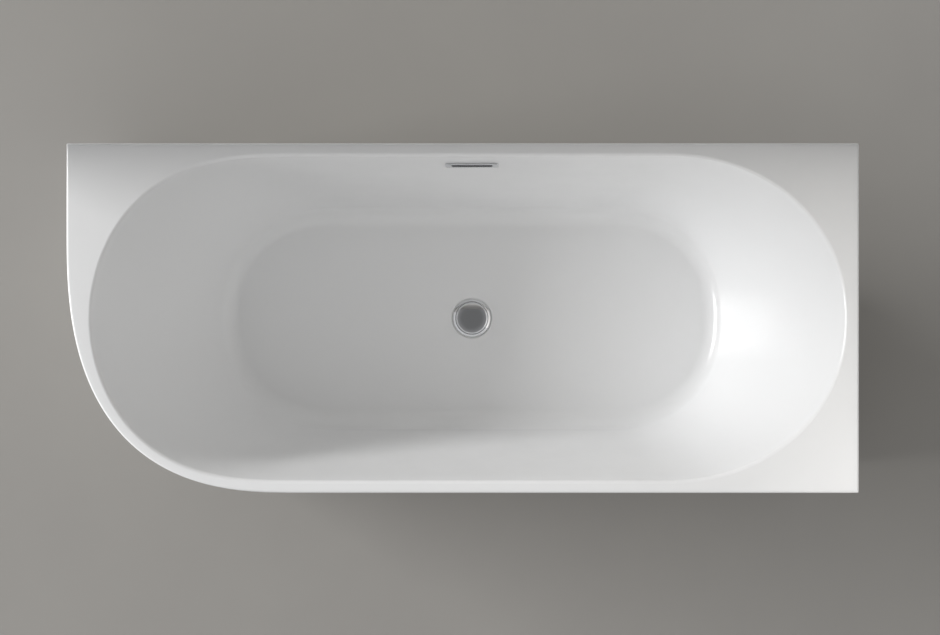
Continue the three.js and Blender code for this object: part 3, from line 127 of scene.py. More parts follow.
# Boards and frame
BOARD_THICKNESS = 16 * MM
BOARD_INSET = 58 * MM
BOARD_HOLE_RADIUS = 62 * MM
BOARD_BEVEL = 0.8 * MM
TUBE_SIZE = 30 * MM
TUBE_WALL = 2.5 * MM
TUBE_CORNER = 3 * MM
TUBE_BEVEL = 0.25 * MM
TUBE_CAP_RIM = 2 * MM
RAIL_SPREAD = 150 * MM
FRAME_INSET_LEFT = 160 * MM
FRAME_INSET_RIGHT = 120 * MM
FRAME_INSET_SIDE = 75 * MM
CROSS_BAR_INSET = 170 * MM
CROSS_BAR_FROM_DRAIN = 150 * MM
WELD_RADIUS = 2.6 * MM
WELD_STEP = 1.6 * MM

# Levelling feet
FOOT_INSET = 30 * MM
PAD_RADIUS = 30 * MM
PAD_FLANGE = 5 * MM
PAD_NECK_RADIUS = 14 * MM
PAD_HEIGHT = 16 * MM
PAD_RIBS = 10
PAD_RIB_WIDTH = 2.4 * MM
STUD_RADIUS = 6 * MM
STUD_SOCKET_DEPTH = 9 * MM
STUD_BALL_RADIUS = 8 * MM
STUD_BALL_ROUND = 1.5 * MM
STUD_HEX_RADIUS = 9 * MM
STUD_HEX_HEIGHT = 7 * MM
HEX_BEVEL = 0.7 * MM
FOOT_RETRACT = 8 * MM
NUT_RADIUS = 11 * MM
NUT_HEIGHT = 8 * MM
THREAD_PITCH = 1.75 * MM
THREAD_DEPTH = 1.0 * MM

# Skirt brackets
BRACKET_WIDTH = 30 * MM
BRACKET_SHEET = 3 * MM
BRACKET_LAP = 28 * MM
BRACKET_FOOT = 16 * MM
BRACKET_CLEARANCE = 1.5 * MM
BRACKET_BEND = 5 * MM
SCREW_RADIUS = 4 * MM
SCREW_HEIGHT = 2.2 * MM

# Waste fitting
FLANGE_RADIUS = 43.5 * MM
FLANGE_THICKNESS = 3.4 * MM
FLANGE_SEAT_DEPTH = 1.4 * MM
FLANGE_BEAD = 3.2 * MM
FLANGE_CROWN = 2 * MM
CROWN_POWER = 1.4
TAIL_RADIUS = 23 * MM
TAIL_WALL = 3 * MM
TAIL_LENGTH = 52 * MM
TAIL_PITCH = 2 * MM
WEB_DEPTH = 13 * MM
WEB_ARM = 4 * MM
WEB_ARMS = 3
WEB_DROP = 8 * MM
WASHER_THICKNESS = 1 * MM
CAP_RADIUS = 37.5 * MM
CAP_FOOT = 0.3 * MM
CAP_ROLL = 3.9 * MM
CAP_SLOPE = math.radians(8)
SEAL_THICKNESS = 2 * MM
SEAL_OUTER_RADIUS = 33 * MM
SEAL_INNER_RADIUS = 27 * MM
CARTRIDGE_RADIUS = 10 * MM
CARTRIDGE_BORE = 7.6 * MM
CARTRIDGE_NECK = 4.6 * MM
CARTRIDGE_COLLAR = 12.5 * MM
CARTRIDGE_COLLAR_HEIGHT = 2.5 * MM
CARTRIDGE_END = 2 * MM
PLUNGER_ROD = 4.2 * MM
PLUNGER_PISTON = 7.2 * MM
PLUNGER_PISTON_HEIGHT = 5 * MM
PLUG_TRAVEL = 9 * MM
SPRING_WIRE = 0.6 * MM
SPRING_LENGTH = 13 * MM
SPRING_TURNS = 6

# Waste body, trap and outlet
GASKET_THICKNESS = 3 * MM
BODY_FLANGE_RADIUS = 40 * MM
BODY_FLANGE_THICKNESS = 4 * MM
BODY_RADIUS = 31 * MM
BODY_WALL = 3 * MM
BODY_LENGTH = 86 * MM
BODY_TAIL_RADIUS = 24 * MM
BODY_TAIL_LENGTH = 12 * MM
GUSSETS = 8
GUSSET_WIDTH = 2 * MM
GUSSET_HEIGHT = 9 * MM
SPIGOT_RADIUS = 10 * MM
SPIGOT_BORE = 7.5 * MM
SPIGOT_LENGTH = 34 * MM
SPIGOT_HEIGHT = 80 * MM
BARB_LENGTH = 5 * MM
BARB_NECK = 6 * MM
BARB_RISE = 0.7 * MM
TRAP_NUT_RADIUS = 33 * MM
TRAP_NUT_HEIGHT = 15 * MM
TRAP_NUT_WINGS = 12
WING_SHARE = 0.06
TRAP_NUT_BEVEL = 1.2 * MM
TRAP_ROUND = 2.5 * MM
TRAP_RADIUS = 50 * MM
TRAP_WALL = 3 * MM
TRAP_BASE = 8 * MM
TRAP_HEIGHT = 38 * MM
OUTLET_RADIUS = 20 * MM
OUTLET_SPIGOT_RADIUS = 17 * MM
OUTLET_SPIGOT_BORE = 14 * MM
OUTLET_SPIGOT_LENGTH = 32 * MM
OUTLET_SPIGOT_PLAY = 0.8 * MM
OUTLET_HEIGHT = 30 * MM
OUTLET_PIPE_FROM_WALL = 30 * MM
OUTLET_NUT_RADIUS = 26 * MM
OUTLET_NUT_LENGTH = 22 * MM
OUTLET_NUT_RIBS = 24
OUTLET_RIB_SIZE = (2.4 * MM, 2.2 * MM)
OUTLET_RIB_INSET = 1.35 * MM
OUTLET_NUT_ROUND = 1 * MM

# Overflow
OVERFLOW_DEPTH = 62 * MM
COVER_WIDTH = 116 * MM
COVER_HEIGHT = 28 * MM
COVER_THICKNESS = 3 * MM
COVER_CORNER = 4 * MM
NECK_WIDTH = 100 * MM
NECK_HEIGHT = 18 * MM
COVER_SLOT_WIDTH = 90 * MM
COVER_SLOT_HEIGHT = 12 * MM
COVER_SLOT_CORNER = 3 * MM
SLOT_CLEARANCE = 1 * MM
OVERFLOW_GASKET_BORDER = 7 * MM
OVERFLOW_GASKET_THICKNESS = 2 * MM
CHAMBER_WIDTH = 122 * MM
CHAMBER_HEIGHT = 36 * MM
CHAMBER_DEPTH = 20 * MM
CHAMBER_WALL = 2.5 * MM
CHAMBER_BEVEL = 1 * MM
CHAMBER_SPIGOT_LENGTH = 30 * MM

# Hose
HOSE_RADIUS = 14 * MM
HOSE_ROOT_RADIUS = 12.2 * MM
HOSE_BORE = 11.3 * MM
HOSE_BEND_RADIUS = 120 * MM
HOSE_LAP = 20 * MM
HOSE_RIBS = 84
HOSE_STEPS_PER_RIB = 6
HOSE_SIDES = 28
CLIP_RADIUS = 16.5 * MM
CLIP_LENGTH = 9 * MM
CLIP_BAND = 0.8 * MM
CLIP_SLOTS = 14
CLIP_SLOT = (0.4 * MM, 1.1 * MM, 0.6 * CLIP_LENGTH)
CLIP_SLOT_LEAN = 0.35
CLIP_FIRST_SLOT = 0.6
CLIP_SLOT_STEP = 0.14
CLIP_SCREW_RADIUS = 1.5 * MM
CLIP_SCREW_HALF = 6.5 * MM
CLIP_HOUSING = 10 * MM

# Roundings, and how ribs sit in their pieces
THIN_ROUND = 0.3 * MM
EDGE_ROUND = 0.4 * MM
FINE_ROUND = 0.5 * MM
SOFT_ROUND = 0.6 * MM
PLASTIC_ROUND = 0.8 * MM
BOLD_ROUND = 0.9 * MM
RIB_BURIED = 1 * MM
RIB_SETBACK = 1.5 * MM
ROUND_SHARE = 0.45

# Surfaces
STRAND_SIZE = (42 * MM, 2.2 * MM, 2.2 * MM)
STRAND_WAYS = ((8, 1, 6), (5, -1, -9), (1, 8, 5), (-1, 5, -9), (8, 5, 1), (4, -9, 1))
WEAR_REACH = 1.6 * MM
WEAR_SAMPLES = 6
SCUFF_SHADE = 0.86
FLOW_SHADE = 0.93
WALL_TINT = (1, 0.98, 0.95)
CHIPS_PER_METRE = (170, 260, 600)

# Steps and limits of the fine meshes
END_STEPS = 44
SIDE_STEPS = 26
TOP_FILLET_STEPS = 10
WALL_STEPS = 8
FLOOR_FILLET_STEPS = 18
FLOOR_STEPS = 5
CORNER_MARKS = 5
SKIRT_ROUND_STEPS = 90
SKIRT_CORNER_POINTS = 4
ROUND_STEPS = 96
SMALL_STEPS = 48
WIRE_SIDES = 10
RIM_EDGE_STEPS = 8
CAP_ROLL_STEPS = 16
CAP_DOME_STEPS = 20
SPRING_STEPS = 24
RIB_FULLNESS = 0.6
SHARP_DEGREES = 35
WELD_DISTANCE = 1e-6
NEAR_ZERO = 1e-9
ANGLE_STEP = 1e-3
HALVINGS = 50

HALF_LENGTH = RIM_LENGTH / 2
HALF_WIDTH = RIM_WIDTH / 2
OPENING_LEFT = -HALF_LENGTH + DECK_LEFT
OPENING_RIGHT = HALF_LENGTH - DECK_RIGHT
OPENING_CENTRE_Y = (DECK_FRONT - DECK_BACK) / 2
OPENING_HALF_WIDTH = (RIM_WIDTH - DECK_FRONT - DECK_BACK) / 2
FLOOR_LEFT = OPENING_LEFT + FLOOR_INSET_LEFT
FLOOR_RIGHT = OPENING_RIGHT - FLOOR_INSET_RIGHT
FLOOR_HALF_WIDTH = OPENING_HALF_WIDTH - FLOOR_INSET_SIDE
FLOOR_UNDERSIDE = FLOOR_HEIGHT - SHELL_WALL
RECESS_FLOOR = FLOOR_HEIGHT - DRAIN_RECESS_DEPTH
RECESS_UNDERSIDE = RECESS_FLOOR - SHELL_WALL
SKIRT_TOP = RIM_HEIGHT - LIP_HEIGHT - SEAT_GAP
BOARD_TOP = FLOOR_UNDERSIDE - SEAT_GAP
BOARD_BOTTOM = BOARD_TOP - BOARD_THICKNESS
RAIL_TOP = BOARD_BOTTOM - SEAT_GAP
RAIL_BOTTOM = RAIL_TOP - TUBE_SIZE
CROSS_TOP = RAIL_BOTTOM - SEAT_GAP
CROSS_BOTTOM = CROSS_TOP - TUBE_SIZE
RAIL_LEFT = -HALF_LENGTH + FRAME_INSET_LEFT
RAIL_RIGHT = HALF_LENGTH - FRAME_INSET_RIGHT
CROSS_HALF = HALF_WIDTH - FRAME_INSET_SIDE
CROSS_LEFT = RAIL_LEFT + CROSS_BAR_INSET
CROSS_MIDDLE = DRAIN_X - CROSS_BAR_FROM_DRAIN
CROSS_RIGHT = RAIL_RIGHT - CROSS_BAR_INSET
FOOT_REACH = CROSS_HALF - FOOT_INSET
SKIRT_FOOT_INSET = SKIRT_DRAFT + SKIRT_WALL + BRACKET_CLEARANCE
FEET = {
    "front_left": (CROSS_LEFT, -FOOT_REACH), "back_left": (CROSS_LEFT, FOOT_REACH),
    "middle": (CROSS_MIDDLE, 0.0),
    "front_right": (CROSS_RIGHT, -FOOT_REACH), "back_right": (CROSS_RIGHT, FOOT_REACH),
}
TUBE_BORE = TUBE_SIZE - 2 * TUBE_WALL
TRAP_TOP = TRAP_BASE + TRAP_HEIGHT
TRAP_MOUTH = BODY_TAIL_RADIUS + 2 * SEAT_GAP
THROAT = (NECK_WIDTH + 2 * SLOT_CLEARANCE, NECK_HEIGHT + 2 * SLOT_CLEARANCE)
RIM_CENTRE = np.array([(OPENING_LEFT + OPENING_RIGHT) / 2, OPENING_CENTRE_Y])
ROUND_CENTRE = np.array([-HALF_LENGTH + ROUND_CORNER_LENGTH, -HALF_WIDTH + ROUND_CORNER_WIDTH])

# Turns that lay an upright body along +X or +Y
ALONG_X = (0, math.pi / 2, 0)
ALONG_Y = (-math.pi / 2, 0, 0)

# Overflow plane on the back wall of the basin: +X along the bath, +Y up the wall, +Z into the basin
SIDE_LEAN = math.atan2(FLOOR_INSET_SIDE, RIM_HEIGHT - FLOOR_HEIGHT - FLOOR_FALL)
OVERFLOW_Y = OPENING_CENTRE_Y + OPENING_HALF_WIDTH - OVERFLOW_DEPTH * math.tan(SIDE_LEAN)
OVERFLOW_FRAME = (Matrix.Translation((DRAIN_X, OVERFLOW_Y, RIM_HEIGHT - OVERFLOW_DEPTH))
                  @ Euler((math.pi / 2 - SIDE_LEAN, 0, 0)).to_matrix().to_4x4())
WALL_BACK = -SHELL_WALL - SEAT_GAP
CHAMBER_FRONT = WALL_BACK - OVERFLOW_GASKET_THICKNESS - SEAT_GAP


# Camera, floor and light

def add_object(name, data):
    made = bpy.data.objects.new(name, data)
    bpy.context.scene.collection.objects.link(made)
    return made


def make_camera():
    data = bpy.data.cameras.new("camera")
    data.sensor_width = SENSOR_WIDTH_MM
    data.lens = SENSOR_WIDTH_MM * FOCAL_PX / PHOTO_WIDTH_PX
    data.clip_end = CAMERA_REACH
    camera = add_object("camera", data)
    camera.location = (CAMERA_X, CAMERA_Y, RIM_HEIGHT + CAMERA_ABOVE_RIM)
    bpy.context.scene.camera = camera


def make_key_light(name, power, skirt, link_state):
    """A wide soft window of light, low over the left end, for the skirt alone or for all but the skirt."""
    data = bpy.data.lights.new(name, "AREA")
    data.shape = "RECTANGLE"
    data.size, data.size_y, data.energy = KEY_WIDTH, KEY_HEIGHT, power
    light = add_object(name, data)
    lit = bpy.data.collections.new(f"{name}_lights")
    lit.objects.link(skirt)
    lit.collection_objects[0].light_linking.link_state = link_state
    light.light_linking.receiver_collection = lit
    target = Vector((0, 0, RIM_HEIGHT))
    reach, height = math.cos(KEY_ELEVATION), math.sin(KEY_ELEVATION)
    away = Vector((-reach * math.cos(KEY_TURN), reach * math.sin(KEY_TURN), height))
    light.location = target + KEY_DISTANCE * away
    light.rotation_euler = (target - light.location).to_track_quat("-Z", "Y").to_euler()


def make_world():
    """A dim room, brightest half-way up, with a dark patch of ceiling straight overhead."""
    sky = Nodes(bpy.data.worlds.new("studio"), "Background")
    height = sky.height(sky.node("ShaderNodeTexCoord").outputs["Generated"])
    sky.set("Color", sky.ramp(height, [(share, (shade,) * 3) for share, shade in SKY_STOPS]))
    bpy.context.scene.world = sky.owner


def stage_quad(name, corners, material):
    mesh = bpy.data.meshes.new(name)
    mesh.from_pydata(corners, [], [(0, 1, 2, 3)])
    mesh.materials.append(material)
    piece = add_object(name, mesh)
    return piece


def make_stage():
    """The floor, and two unseen grey screens that stand for the walls above the rim, their grey painted with shade by
    height.
    """
    g = GROUND_REACH
    stage_quad("floor", [(-g, -g, 0), (g, -g, 0), (g, g, 0), (-g, g, 0)], floor_paint())
    low, high = RIM_HEIGHT + SCREEN_GAP, RIM_HEIGHT + SCREEN_HEIGHT
    corner = (HALF_LENGTH + SCREEN_GAP, HALF_WIDTH + SCREEN_GAP)
    # Each screen's grey carries painted shade that changes with height.
    for side, start, shades in (
            ("back", (-HALF_LENGTH - SCREEN_PAST, corner[1]), BACK_WALL_PAINTED_SHADE),
            ("right", (corner[0], -HALF_WIDTH - SCREEN_PAST), RIGHT_WALL_PAINTED_SHADE)):
        corners = [(*start, low), (*corner, low), (*corner, high), (*start, high)]
        stage_quad(f"{side}_screen", corners, painted_shade_wall_paint(f"{side}_wall", shades)).visible_camera = False


# Materials

class Nodes:
    """A node tree, and the node in it that the others feed."""

    def __init__(self, owner, target):
        owner.use_nodes = True
        self.owner, self.tree = owner, owner.node_tree
        self.target = self.tree.nodes[target]

    def set(self, socket, value, node=None):
        """Gives a socket its value, or links it to another node's output."""
        socket = (node or self.target).inputs[socket]
        if isinstance(value, bpy.types.NodeSocket):
            self.tree.links.new(value, socket)
        else:
            socket.default_value = value

    def node(self, kind, inputs=None):
        made = self.tree.nodes.new(kind)
        for socket, value in (inputs or {}).items():
            self.set(socket, value, made)
        return made

    def calculate(self, kind, operation, first, second):
        made = self.node(kind, {0: first, 1: second})
        made.operation = operation
        return made

    def height(self, place):
        return self.node("ShaderNodeSeparateXYZ", {0: place}).outputs["Z"]

    def space(self, scale=(1, 1, 1), rotation=(0, 0, 0), kind="POINT"):
        mapping = self.node("ShaderNodeMapping")
        mapping.vector_type = kind
        self.set("Vector", self.node("ShaderNodeTexCoord").outputs["Object"], mapping)
        self.set("Scale", scale, mapping)
        self.set("Rotation", rotation, mapping)
        return mapping.outputs["Vector"]

    def noise(self, scale, detail=2.0, roughness=0.5, space=None):
        return self.node("ShaderNodeTexNoise", {
            "Scale": scale, "Detail": detail, "Roughness": roughness, "Vector": space or self.space(),
        }).outputs["Fac"]

    def cells(self, scale, space):
        """The random shade of each cell, and the distance from its middle."""
        cells = self.node("ShaderNodeTexVoronoi", {"Scale": scale, "Vector": space})
        shade = self.node("ShaderNodeRGBToBW", {"Color": cells.outputs["Color"]})
        return shade.outputs["Val"], cells.outputs["Distance"]

    def spread(self, value, low, high, source=(0.0, 1.0)):
        return self.node("ShaderNodeMapRange", {
            "Value": value, "From Min": source[0], "From Max": source[1], "To Min": low, "To Max": high,
        }).outputs["Result"]

    def ramp(self, value, stops):
        made = self.node("ShaderNodeValToRGB", {"Fac": value})
        elements = made.color_ramp.elements
        while len(elements) < len(stops):
            elements.new(0.5)
        for element, (position, colour) in zip(elements, stops):
            element.position = position
            element.color = (*colour, 1)
        return made.outputs["Color"]

    def bump(self, height, strength, depth, below=None):
        made = self.node("ShaderNodeBump", {"Strength": strength, "Distance": depth, "Height": height})
        if below:
            self.set("Normal", below, made)
        self.set("Normal", made.outputs["Normal"])
        return made.outputs["Normal"]

    def vary_roughness(self, scale, low, high):
        self.set("Roughness", self.spread(self.noise(scale, 3.0), low, high, (0.3, 0.7)))

    def wear(self, tint, worn, scale):
        """Shows a worn colour in spots along the piece's edges."""
        rounded = self.node("ShaderNodeBevel", {"Radius": WEAR_REACH})
        rounded.samples = WEAR_SAMPLES
        surface = self.node("ShaderNodeNewGeometry")
        agreement = self.calculate("ShaderNodeVectorMath", "DOT_PRODUCT",
                                   rounded.outputs["Normal"], surface.outputs["Normal"])
        edges = self.spread(agreement.outputs["Value"], 1, 0, (0.8, 0.98))
        spots = self.spread(self.noise(scale, 4.0), 0, 1, (0.45, 0.6))
        share = self.calculate("ShaderNodeMath", "MULTIPLY", edges, spots).outputs[0]
        mix = self.node("ShaderNodeMixRGB", {"Fac": share, "Color1": tint, "Color2": (*worn, 1)})
        self.set("Base Color", mix.outputs["Color"])


def paint(name, colour, roughness, metallic=0.0):
    made = Nodes(bpy.data.materials.new(name), "Principled BSDF")
    made.set("Base Color", (*colour, 1))
    made.set("Roughness", roughness)
    made.set("Metallic", metallic)
    return made


def acrylic():
    """Polished sanitary acrylic: white, glossy, with the faint waviness of a drawn sheet."""
    made = paint("white_acrylic", (0.895, 0.9, 0.905), 0.22)
    made.set("Coat Weight", 0.25)
    made.set("Coat Roughness", 0.1)
    made.vary_roughness(scale=14, low=0.19, high=0.27)
    wavy = made.bump(made.noise(7, 1.0), strength=0.05, depth=1.2 * MM)
    made.bump(made.noise(650), strength=0.04, depth=0.05 * MM, below=wavy)
    return made.owner


def glass_fibre():
    """Sprayed resin and chopped glass strands on the hidden side of the acrylic."""
    made = paint("fibreglass_back", (0.66, 0.64, 0.53), 0.5)
    strands = None
    for spin, way in enumerate(STRAND_WAYS):
        along = Vector(way).normalized()
        turns = (spin, -math.asin(along.z), math.atan2(along.y, along.x))
        layer = made.noise(1.0, 2.0, 0.6, made.space(STRAND_SIZE, turns, "TEXTURE"))
        if strands:
            layer = made.calculate("ShaderNodeMath", "MAXIMUM", strands, layer).outputs[0]
        strands = layer
    made.set("Base Color", made.ramp(strands, [
        (0.5, (0.50, 0.47, 0.36)), (0.64, (0.66, 0.63, 0.52)), (0.76, (0.82, 0.81, 0.74))]))
    made.set("Roughness", made.spread(strands, 0.35, 0.65, (0.45, 0.8)))
    rough = made.bump(made.noise(45, 4.0), strength=0.5, depth=1.5 * MM)
    made.bump(strands, strength=0.5, depth=0.5 * MM, below=rough)
    return made.owner


def chrome():
    made = paint("chrome_plate", (0.78, 0.79, 0.81), 0.07, 1.0)
    made.vary_roughness(scale=120, low=0.05, high=0.1)
    made.bump(made.noise(60, 1.0), strength=0.03, depth=0.3 * MM)
    return made.owner


def worn_finish(made, patches, shades, worn, spots, sheen, grain):
    """Patches of two shades, worn along the edges, over a fine grain."""
    tint = made.ramp(made.noise(patches, 3.0), shades)
    made.wear(tint, worn, spots)
    made.vary_roughness(*sheen)
    scale, strength, depth = grain
    made.bump(made.noise(scale), strength, depth)
    return made.owner


def zinc_steel():
    return worn_finish(paint("zinc_steel", (0.68, 0.68, 0.65), 0.3, 1.0), patches=90,
                       shades=[(0.35, (0.56, 0.57, 0.56)), (0.65, (0.74, 0.74, 0.70))],
                       worn=(0.36, 0.35, 0.33), spots=260, sheen=(150, 0.24, 0.4), grain=(900, 0.1, 0.1 * MM))


def powder_coat():
    return worn_finish(paint("powder_coat", (0.23, 0.235, 0.245), 0.5), patches=25,
                       shades=[(0.3, (0.20, 0.205, 0.215)), (0.7, (0.26, 0.265, 0.275))],
                       worn=(0.48, 0.47, 0.45), spots=110, sheen=(60, 0.42, 0.58), grain=(1400, 0.25, 0.12 * MM))


def moulded_plastic(name, colour):
    """Injection-moulded plastic with a fine spark grain and slight flow marks."""
    dark = tuple(FLOW_SHADE * c for c in colour)
    return worn_finish(paint(name, colour, 0.45), patches=18, shades=[(0.3, dark), (0.7, colour)],
                       worn=tuple(SCUFF_SHADE * c for c in dark), spots=140, sheen=(70, 0.38, 0.52),
                       grain=(2200, 0.15, 0.08 * MM))


def galvanised():
    """Hot-dipped sheet with its pattern of zinc crystals."""
    made = paint("galvanised_steel", (0.6, 0.62, 0.64), 0.4, 1.0)
    shade, distance = made.cells(160, made.space())
    tint = made.ramp(shade, [(0.2, (0.50, 0.52, 0.54)), (0.8, (0.70, 0.71, 0.72))])
    made.wear(tint, (0.80, 0.81, 0.82), 120)
    made.set("Roughness", made.spread(shade, 0.3, 0.5))
    made.bump(distance, strength=0.08, depth=0.1 * MM)
    return made.owner


def rubber():
    made = paint("black_rubber", (0.035, 0.035, 0.037), 0.75)
    made.vary_roughness(scale=200, low=0.65, high=0.85)
    made.bump(made.noise(1600), strength=0.2, depth=0.1 * MM)
    return made.owner


def chipboard():
    """Pressed wood chips of mixed browns, flat to the board."""
    made = paint("chipboard", (0.55, 0.40, 0.24), 0.8)
    shade, _ = made.cells(1.0, made.space(CHIPS_PER_METRE))
    made.set("Base Color", made.ramp(shade, [
        (0.1, (0.33, 0.21, 0.11)), (0.45, (0.52, 0.37, 0.21)), (0.9, (0.72, 0.56, 0.36))]))
    made.bump(shade, strength=0.3, depth=0.4 * MM)
    return made.owner


def floor_paint():
    made = paint("pale_floor", (0.335, 0.322, 0.303), 0.6)
    made.set("Base Color", made.ramp(made.noise(2.5, 3.0), [
        (0.3, (0.328, 0.315, 0.297)), (0.7, (0.342, 0.329, 0.309))]))
    return made.owner


def painted_shade_wall_paint(name, shades):
    """Matt grey with painted shade that changes from the rim's height up to the screen's top: darker near the rim and
    towards the top.
    """
    colours = [(share, tuple(shade * c for c in WALL_TINT)) for share, shade in shades]
    made = paint(name, colours[1][1], 0.8)
    # The share of the height picks the painted shade from the stops.
    share = made.spread(made.height(made.space()), 0, 1, (RIM_HEIGHT, RIM_HEIGHT + SCREEN_HEIGHT))
    made.set("Base Color", made.ramp(share, colours))
    return made.owner


FINISHES = {}


def make_finishes():
    """The materials of each slot, outer side first."""
    FINISHES.update({
        "acrylic": (acrylic(), glass_fibre()),
        "chrome": (chrome(),),
        "zinc_steel": (zinc_steel(),),
        "rubber": (rubber(),),
        "frame_steel": (powder_coat(),),
        "board": (chipboard(),),
        "foot_plastic": (moulded_plastic("black_plastic", (0.05, 0.05, 0.055)),),
        "dark_plastic": (moulded_plastic("grey_plastic", (0.16, 0.165, 0.175)),),
        "white_plastic": (moulded_plastic("white_plastic", (0.78, 0.78, 0.76)),),
        "bracket_steel": (galvanised(),),
    })


# Mesh helpers: a body is a list of points and a list of faces

def mesh_object(name, body, materials, face_slots=None, sharp_degrees=SHARP_DEGREES):
    """A closed body: joins shared corners, turns the faces outwards and shades it smooth between edges."""
    mesh = bpy.data.meshes.new(name)
    shape = bmesh.new()
    points, faces = body
    corners = [shape.verts.new(p) for p in points]
    for i, face in enumerate(faces):
        made = shape.faces.new([corners[k] for k in face])
        made.material_index = face_slots[i] if face_slots else 0
        made.smooth = True
    bmesh.ops.remove_doubles(shape, verts=shape.verts, dist=WELD_DISTANCE)
    bmesh.ops.dissolve_degenerate(shape, dist=WELD_DISTANCE, edges=shape.edges)
    bmesh.ops.recalc_face_normals(shape, faces=shape.faces)
    shape.to_mesh(mesh)
    shape.free()
    mesh.set_sharp_from_angle(angle=math.radians(sharp_degrees))
    for material in materials:
        mesh.materials.append(material)
    return add_object(name, mesh)


def cut_away(piece, body):
    """Takes the body's space out of the piece."""
    cutter = mesh_object("cutter", body, ())
    modifier = piece.modifiers.new("cut", "BOOLEAN")
    modifier.operation = "DIFFERENCE"
    modifier.solver = "EXACT"
    modifier.object = cutter
    bpy.context.view_layer.update()
    result = piece.evaluated_get(bpy.context.evaluated_depsgraph_get())
    mesh = bpy.data.meshes.new_from_object(result)
    piece.modifiers.clear()
    old, piece.data = piece.data, mesh
    bpy.data.meshes.remove(old)
    bpy.data.objects.remove(cutter)
    mesh.set_sharp_from_angle(angle=math.radians(SHARP_DEGREES))


def fit(node, slot_name, body, name=None, cuts=(), **mesh_settings):
    """Puts a body in the place of a node, on the body that the node rides."""
    piece = mesh_object(name or f"{node}_fine", body, FINISHES[slot_name], **mesh_settings)
    for cut in cuts:
        cut_away(piece, cut)
    rides = next(moving for moving, nodes in frame["record"]["behaviour"]["bodies"].items() if node in nodes)
    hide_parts(node)
    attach(piece, rides)
    return piece


def add_fixed(name, slot_name, *bodies):
    """Adds bodies of their own to the part that stands still."""
    piece = mesh_object(name, joined(*bodies), FINISHES[slot_name])
    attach(piece, "root")


def skin(rings, closed):
    """Points and faces through rings of equal size: a ring of rings where closed, else with end caps."""
    size = len(rings[0])
    points = [tuple(p) for ring in rings for p in ring]
    faces = []
    for r in range(len(rings) if closed else len(rings) - 1):
        near, far = r * size, ((r + 1) % len(rings)) * size
        faces += [(near + i, near + (i + 1) % size, far + (i + 1) % size, far + i) for i in range(size)]
    if not closed:
        faces.append(tuple(range(size)))
        faces.append(tuple(range(len(points) - size, len(points)))[::-1])
    return points, faces


def joined(*bodies):
    points, faces = [], []
    for body_points, body_faces in bodies:
        start = len(points)
        points += body_points
        faces += [tuple(start + i for i in face) for face in body_faces]
    return points, faces


def placed(body, matrix):
    points, faces = body
    return [tuple(matrix @ Vector(p)) for p in points], faces


def shifted(body, x=0.0, y=0.0, z=0.0):
    return placed(body, Matrix.Translation((x, y, z)))


def spun(body, count, first=0.0):
    """Copies of a body, evenly round the upright axis."""
    return [placed(body, Matrix.Rotation(2 * math.pi * (i + first) / count, 4, "Z")) for i in range(count)]


def stand(place, turn):
    return Matrix.Translation(place) @ Euler(turn).to_matrix().to_4x4()


def round_corner(before, corner, after, radius, steps=3):
    """Points that take an outline round a corner, as far as its two sides allow."""
    here = np.array(corner, float)
    back, ahead = np.array(before, float) - here, np.array(after, float) - here
    back_length, ahead_length = np.linalg.norm(back), np.linalg.norm(ahead)
    if radius == 0 or min(back_length, ahead_length) < WELD_DISTANCE:
        return [tuple(corner)]
    reach = min(radius, ROUND_SHARE * back_length, ROUND_SHARE * ahead_length)
    first, last = here + back * reach / back_length, here + ahead * reach / ahead_length
    return [tuple(first * (1 - t) ** 2 + 2 * t * (1 - t) * here + last * t ** 2) for t in shares(steps)]


def round_corners(outline, radius):
    """A closed outline with its corners rounded; points on the axis stay."""
    rounded = []
    for i, corner in enumerate(outline):
        rounded += round_corner(outline[i - 1], corner, outline[(i + 1) % len(outline)],
                                0 if corner[0] == 0 else radius)
    return rounded


def shares(count):
    return [i / count for i in range(count + 1)]


def circle(radius, steps=ROUND_STEPS):
    turns = [2 * math.pi * i / steps for i in range(steps)]
    return [(radius * math.cos(t), radius * math.sin(t)) for t in turns]


def hexagon(radius, per_side=6):
    corners = circle(radius, 6) + circle(radius, 6)[:1]
    return [((1 - k / per_side) * a[0] + k / per_side * b[0], (1 - k / per_side) * a[1] + k / per_side * b[1])
            for a, b in zip(corners, corners[1:]) for k in range(per_side)]


def rounded_rectangle(width, height, corner, arc=6):
    points = []
    for quarter, (sx, sy) in enumerate(((1, 1), (-1, 1), (-1, -1), (1, -1))):
        for share in shares(arc):
            turn = (quarter + share) * math.pi / 2
            points.append((sx * (width / 2 - corner) + corner * math.cos(turn),
                           sy * (height / 2 - corner) + corner * math.sin(turn)))
    return points


def scaled(outline, across, up=None):
    return [(across * x, (up or across) * y) for x, y in outline]


def stack(levels, closed=False):
    """A body through flat outlines of equal size, each with its height."""
    return skin([[(x, y, height) for x, y in outline] for outline, height in levels], closed)


def box(length, width, height, corner=0.0):
    outline = rounded_rectangle(length, width, corner, 4 if corner else 1)
    return stack([(outline, -height / 2), (outline, height / 2)])


def slab(side, width):
    """A side view in X and Z with a width along Y."""
    return skin([[(x, y, z) for x, z in side] for y in (-width / 2, width / 2)], False)


def lathe(profile, rounding=FINE_ROUND, steps=ROUND_STEPS):
    """A body turned about the upright axis from a closed profile of (radius, height)."""
    outline = round_corners(profile, rounding)
    return skin([[(radius * c, radius * s, height) for radius, height in outline]
                 for c, s in circle(1, steps)], True)


def collar(inner, outer, bottom, top, rounding=FINE_ROUND, steps=ROUND_STEPS):
    """A plain turned ring, or a disc where the inner radius is zero."""
    return lathe([(inner, bottom), (outer, bottom), (outer, top), (inner, top)], rounding, steps)


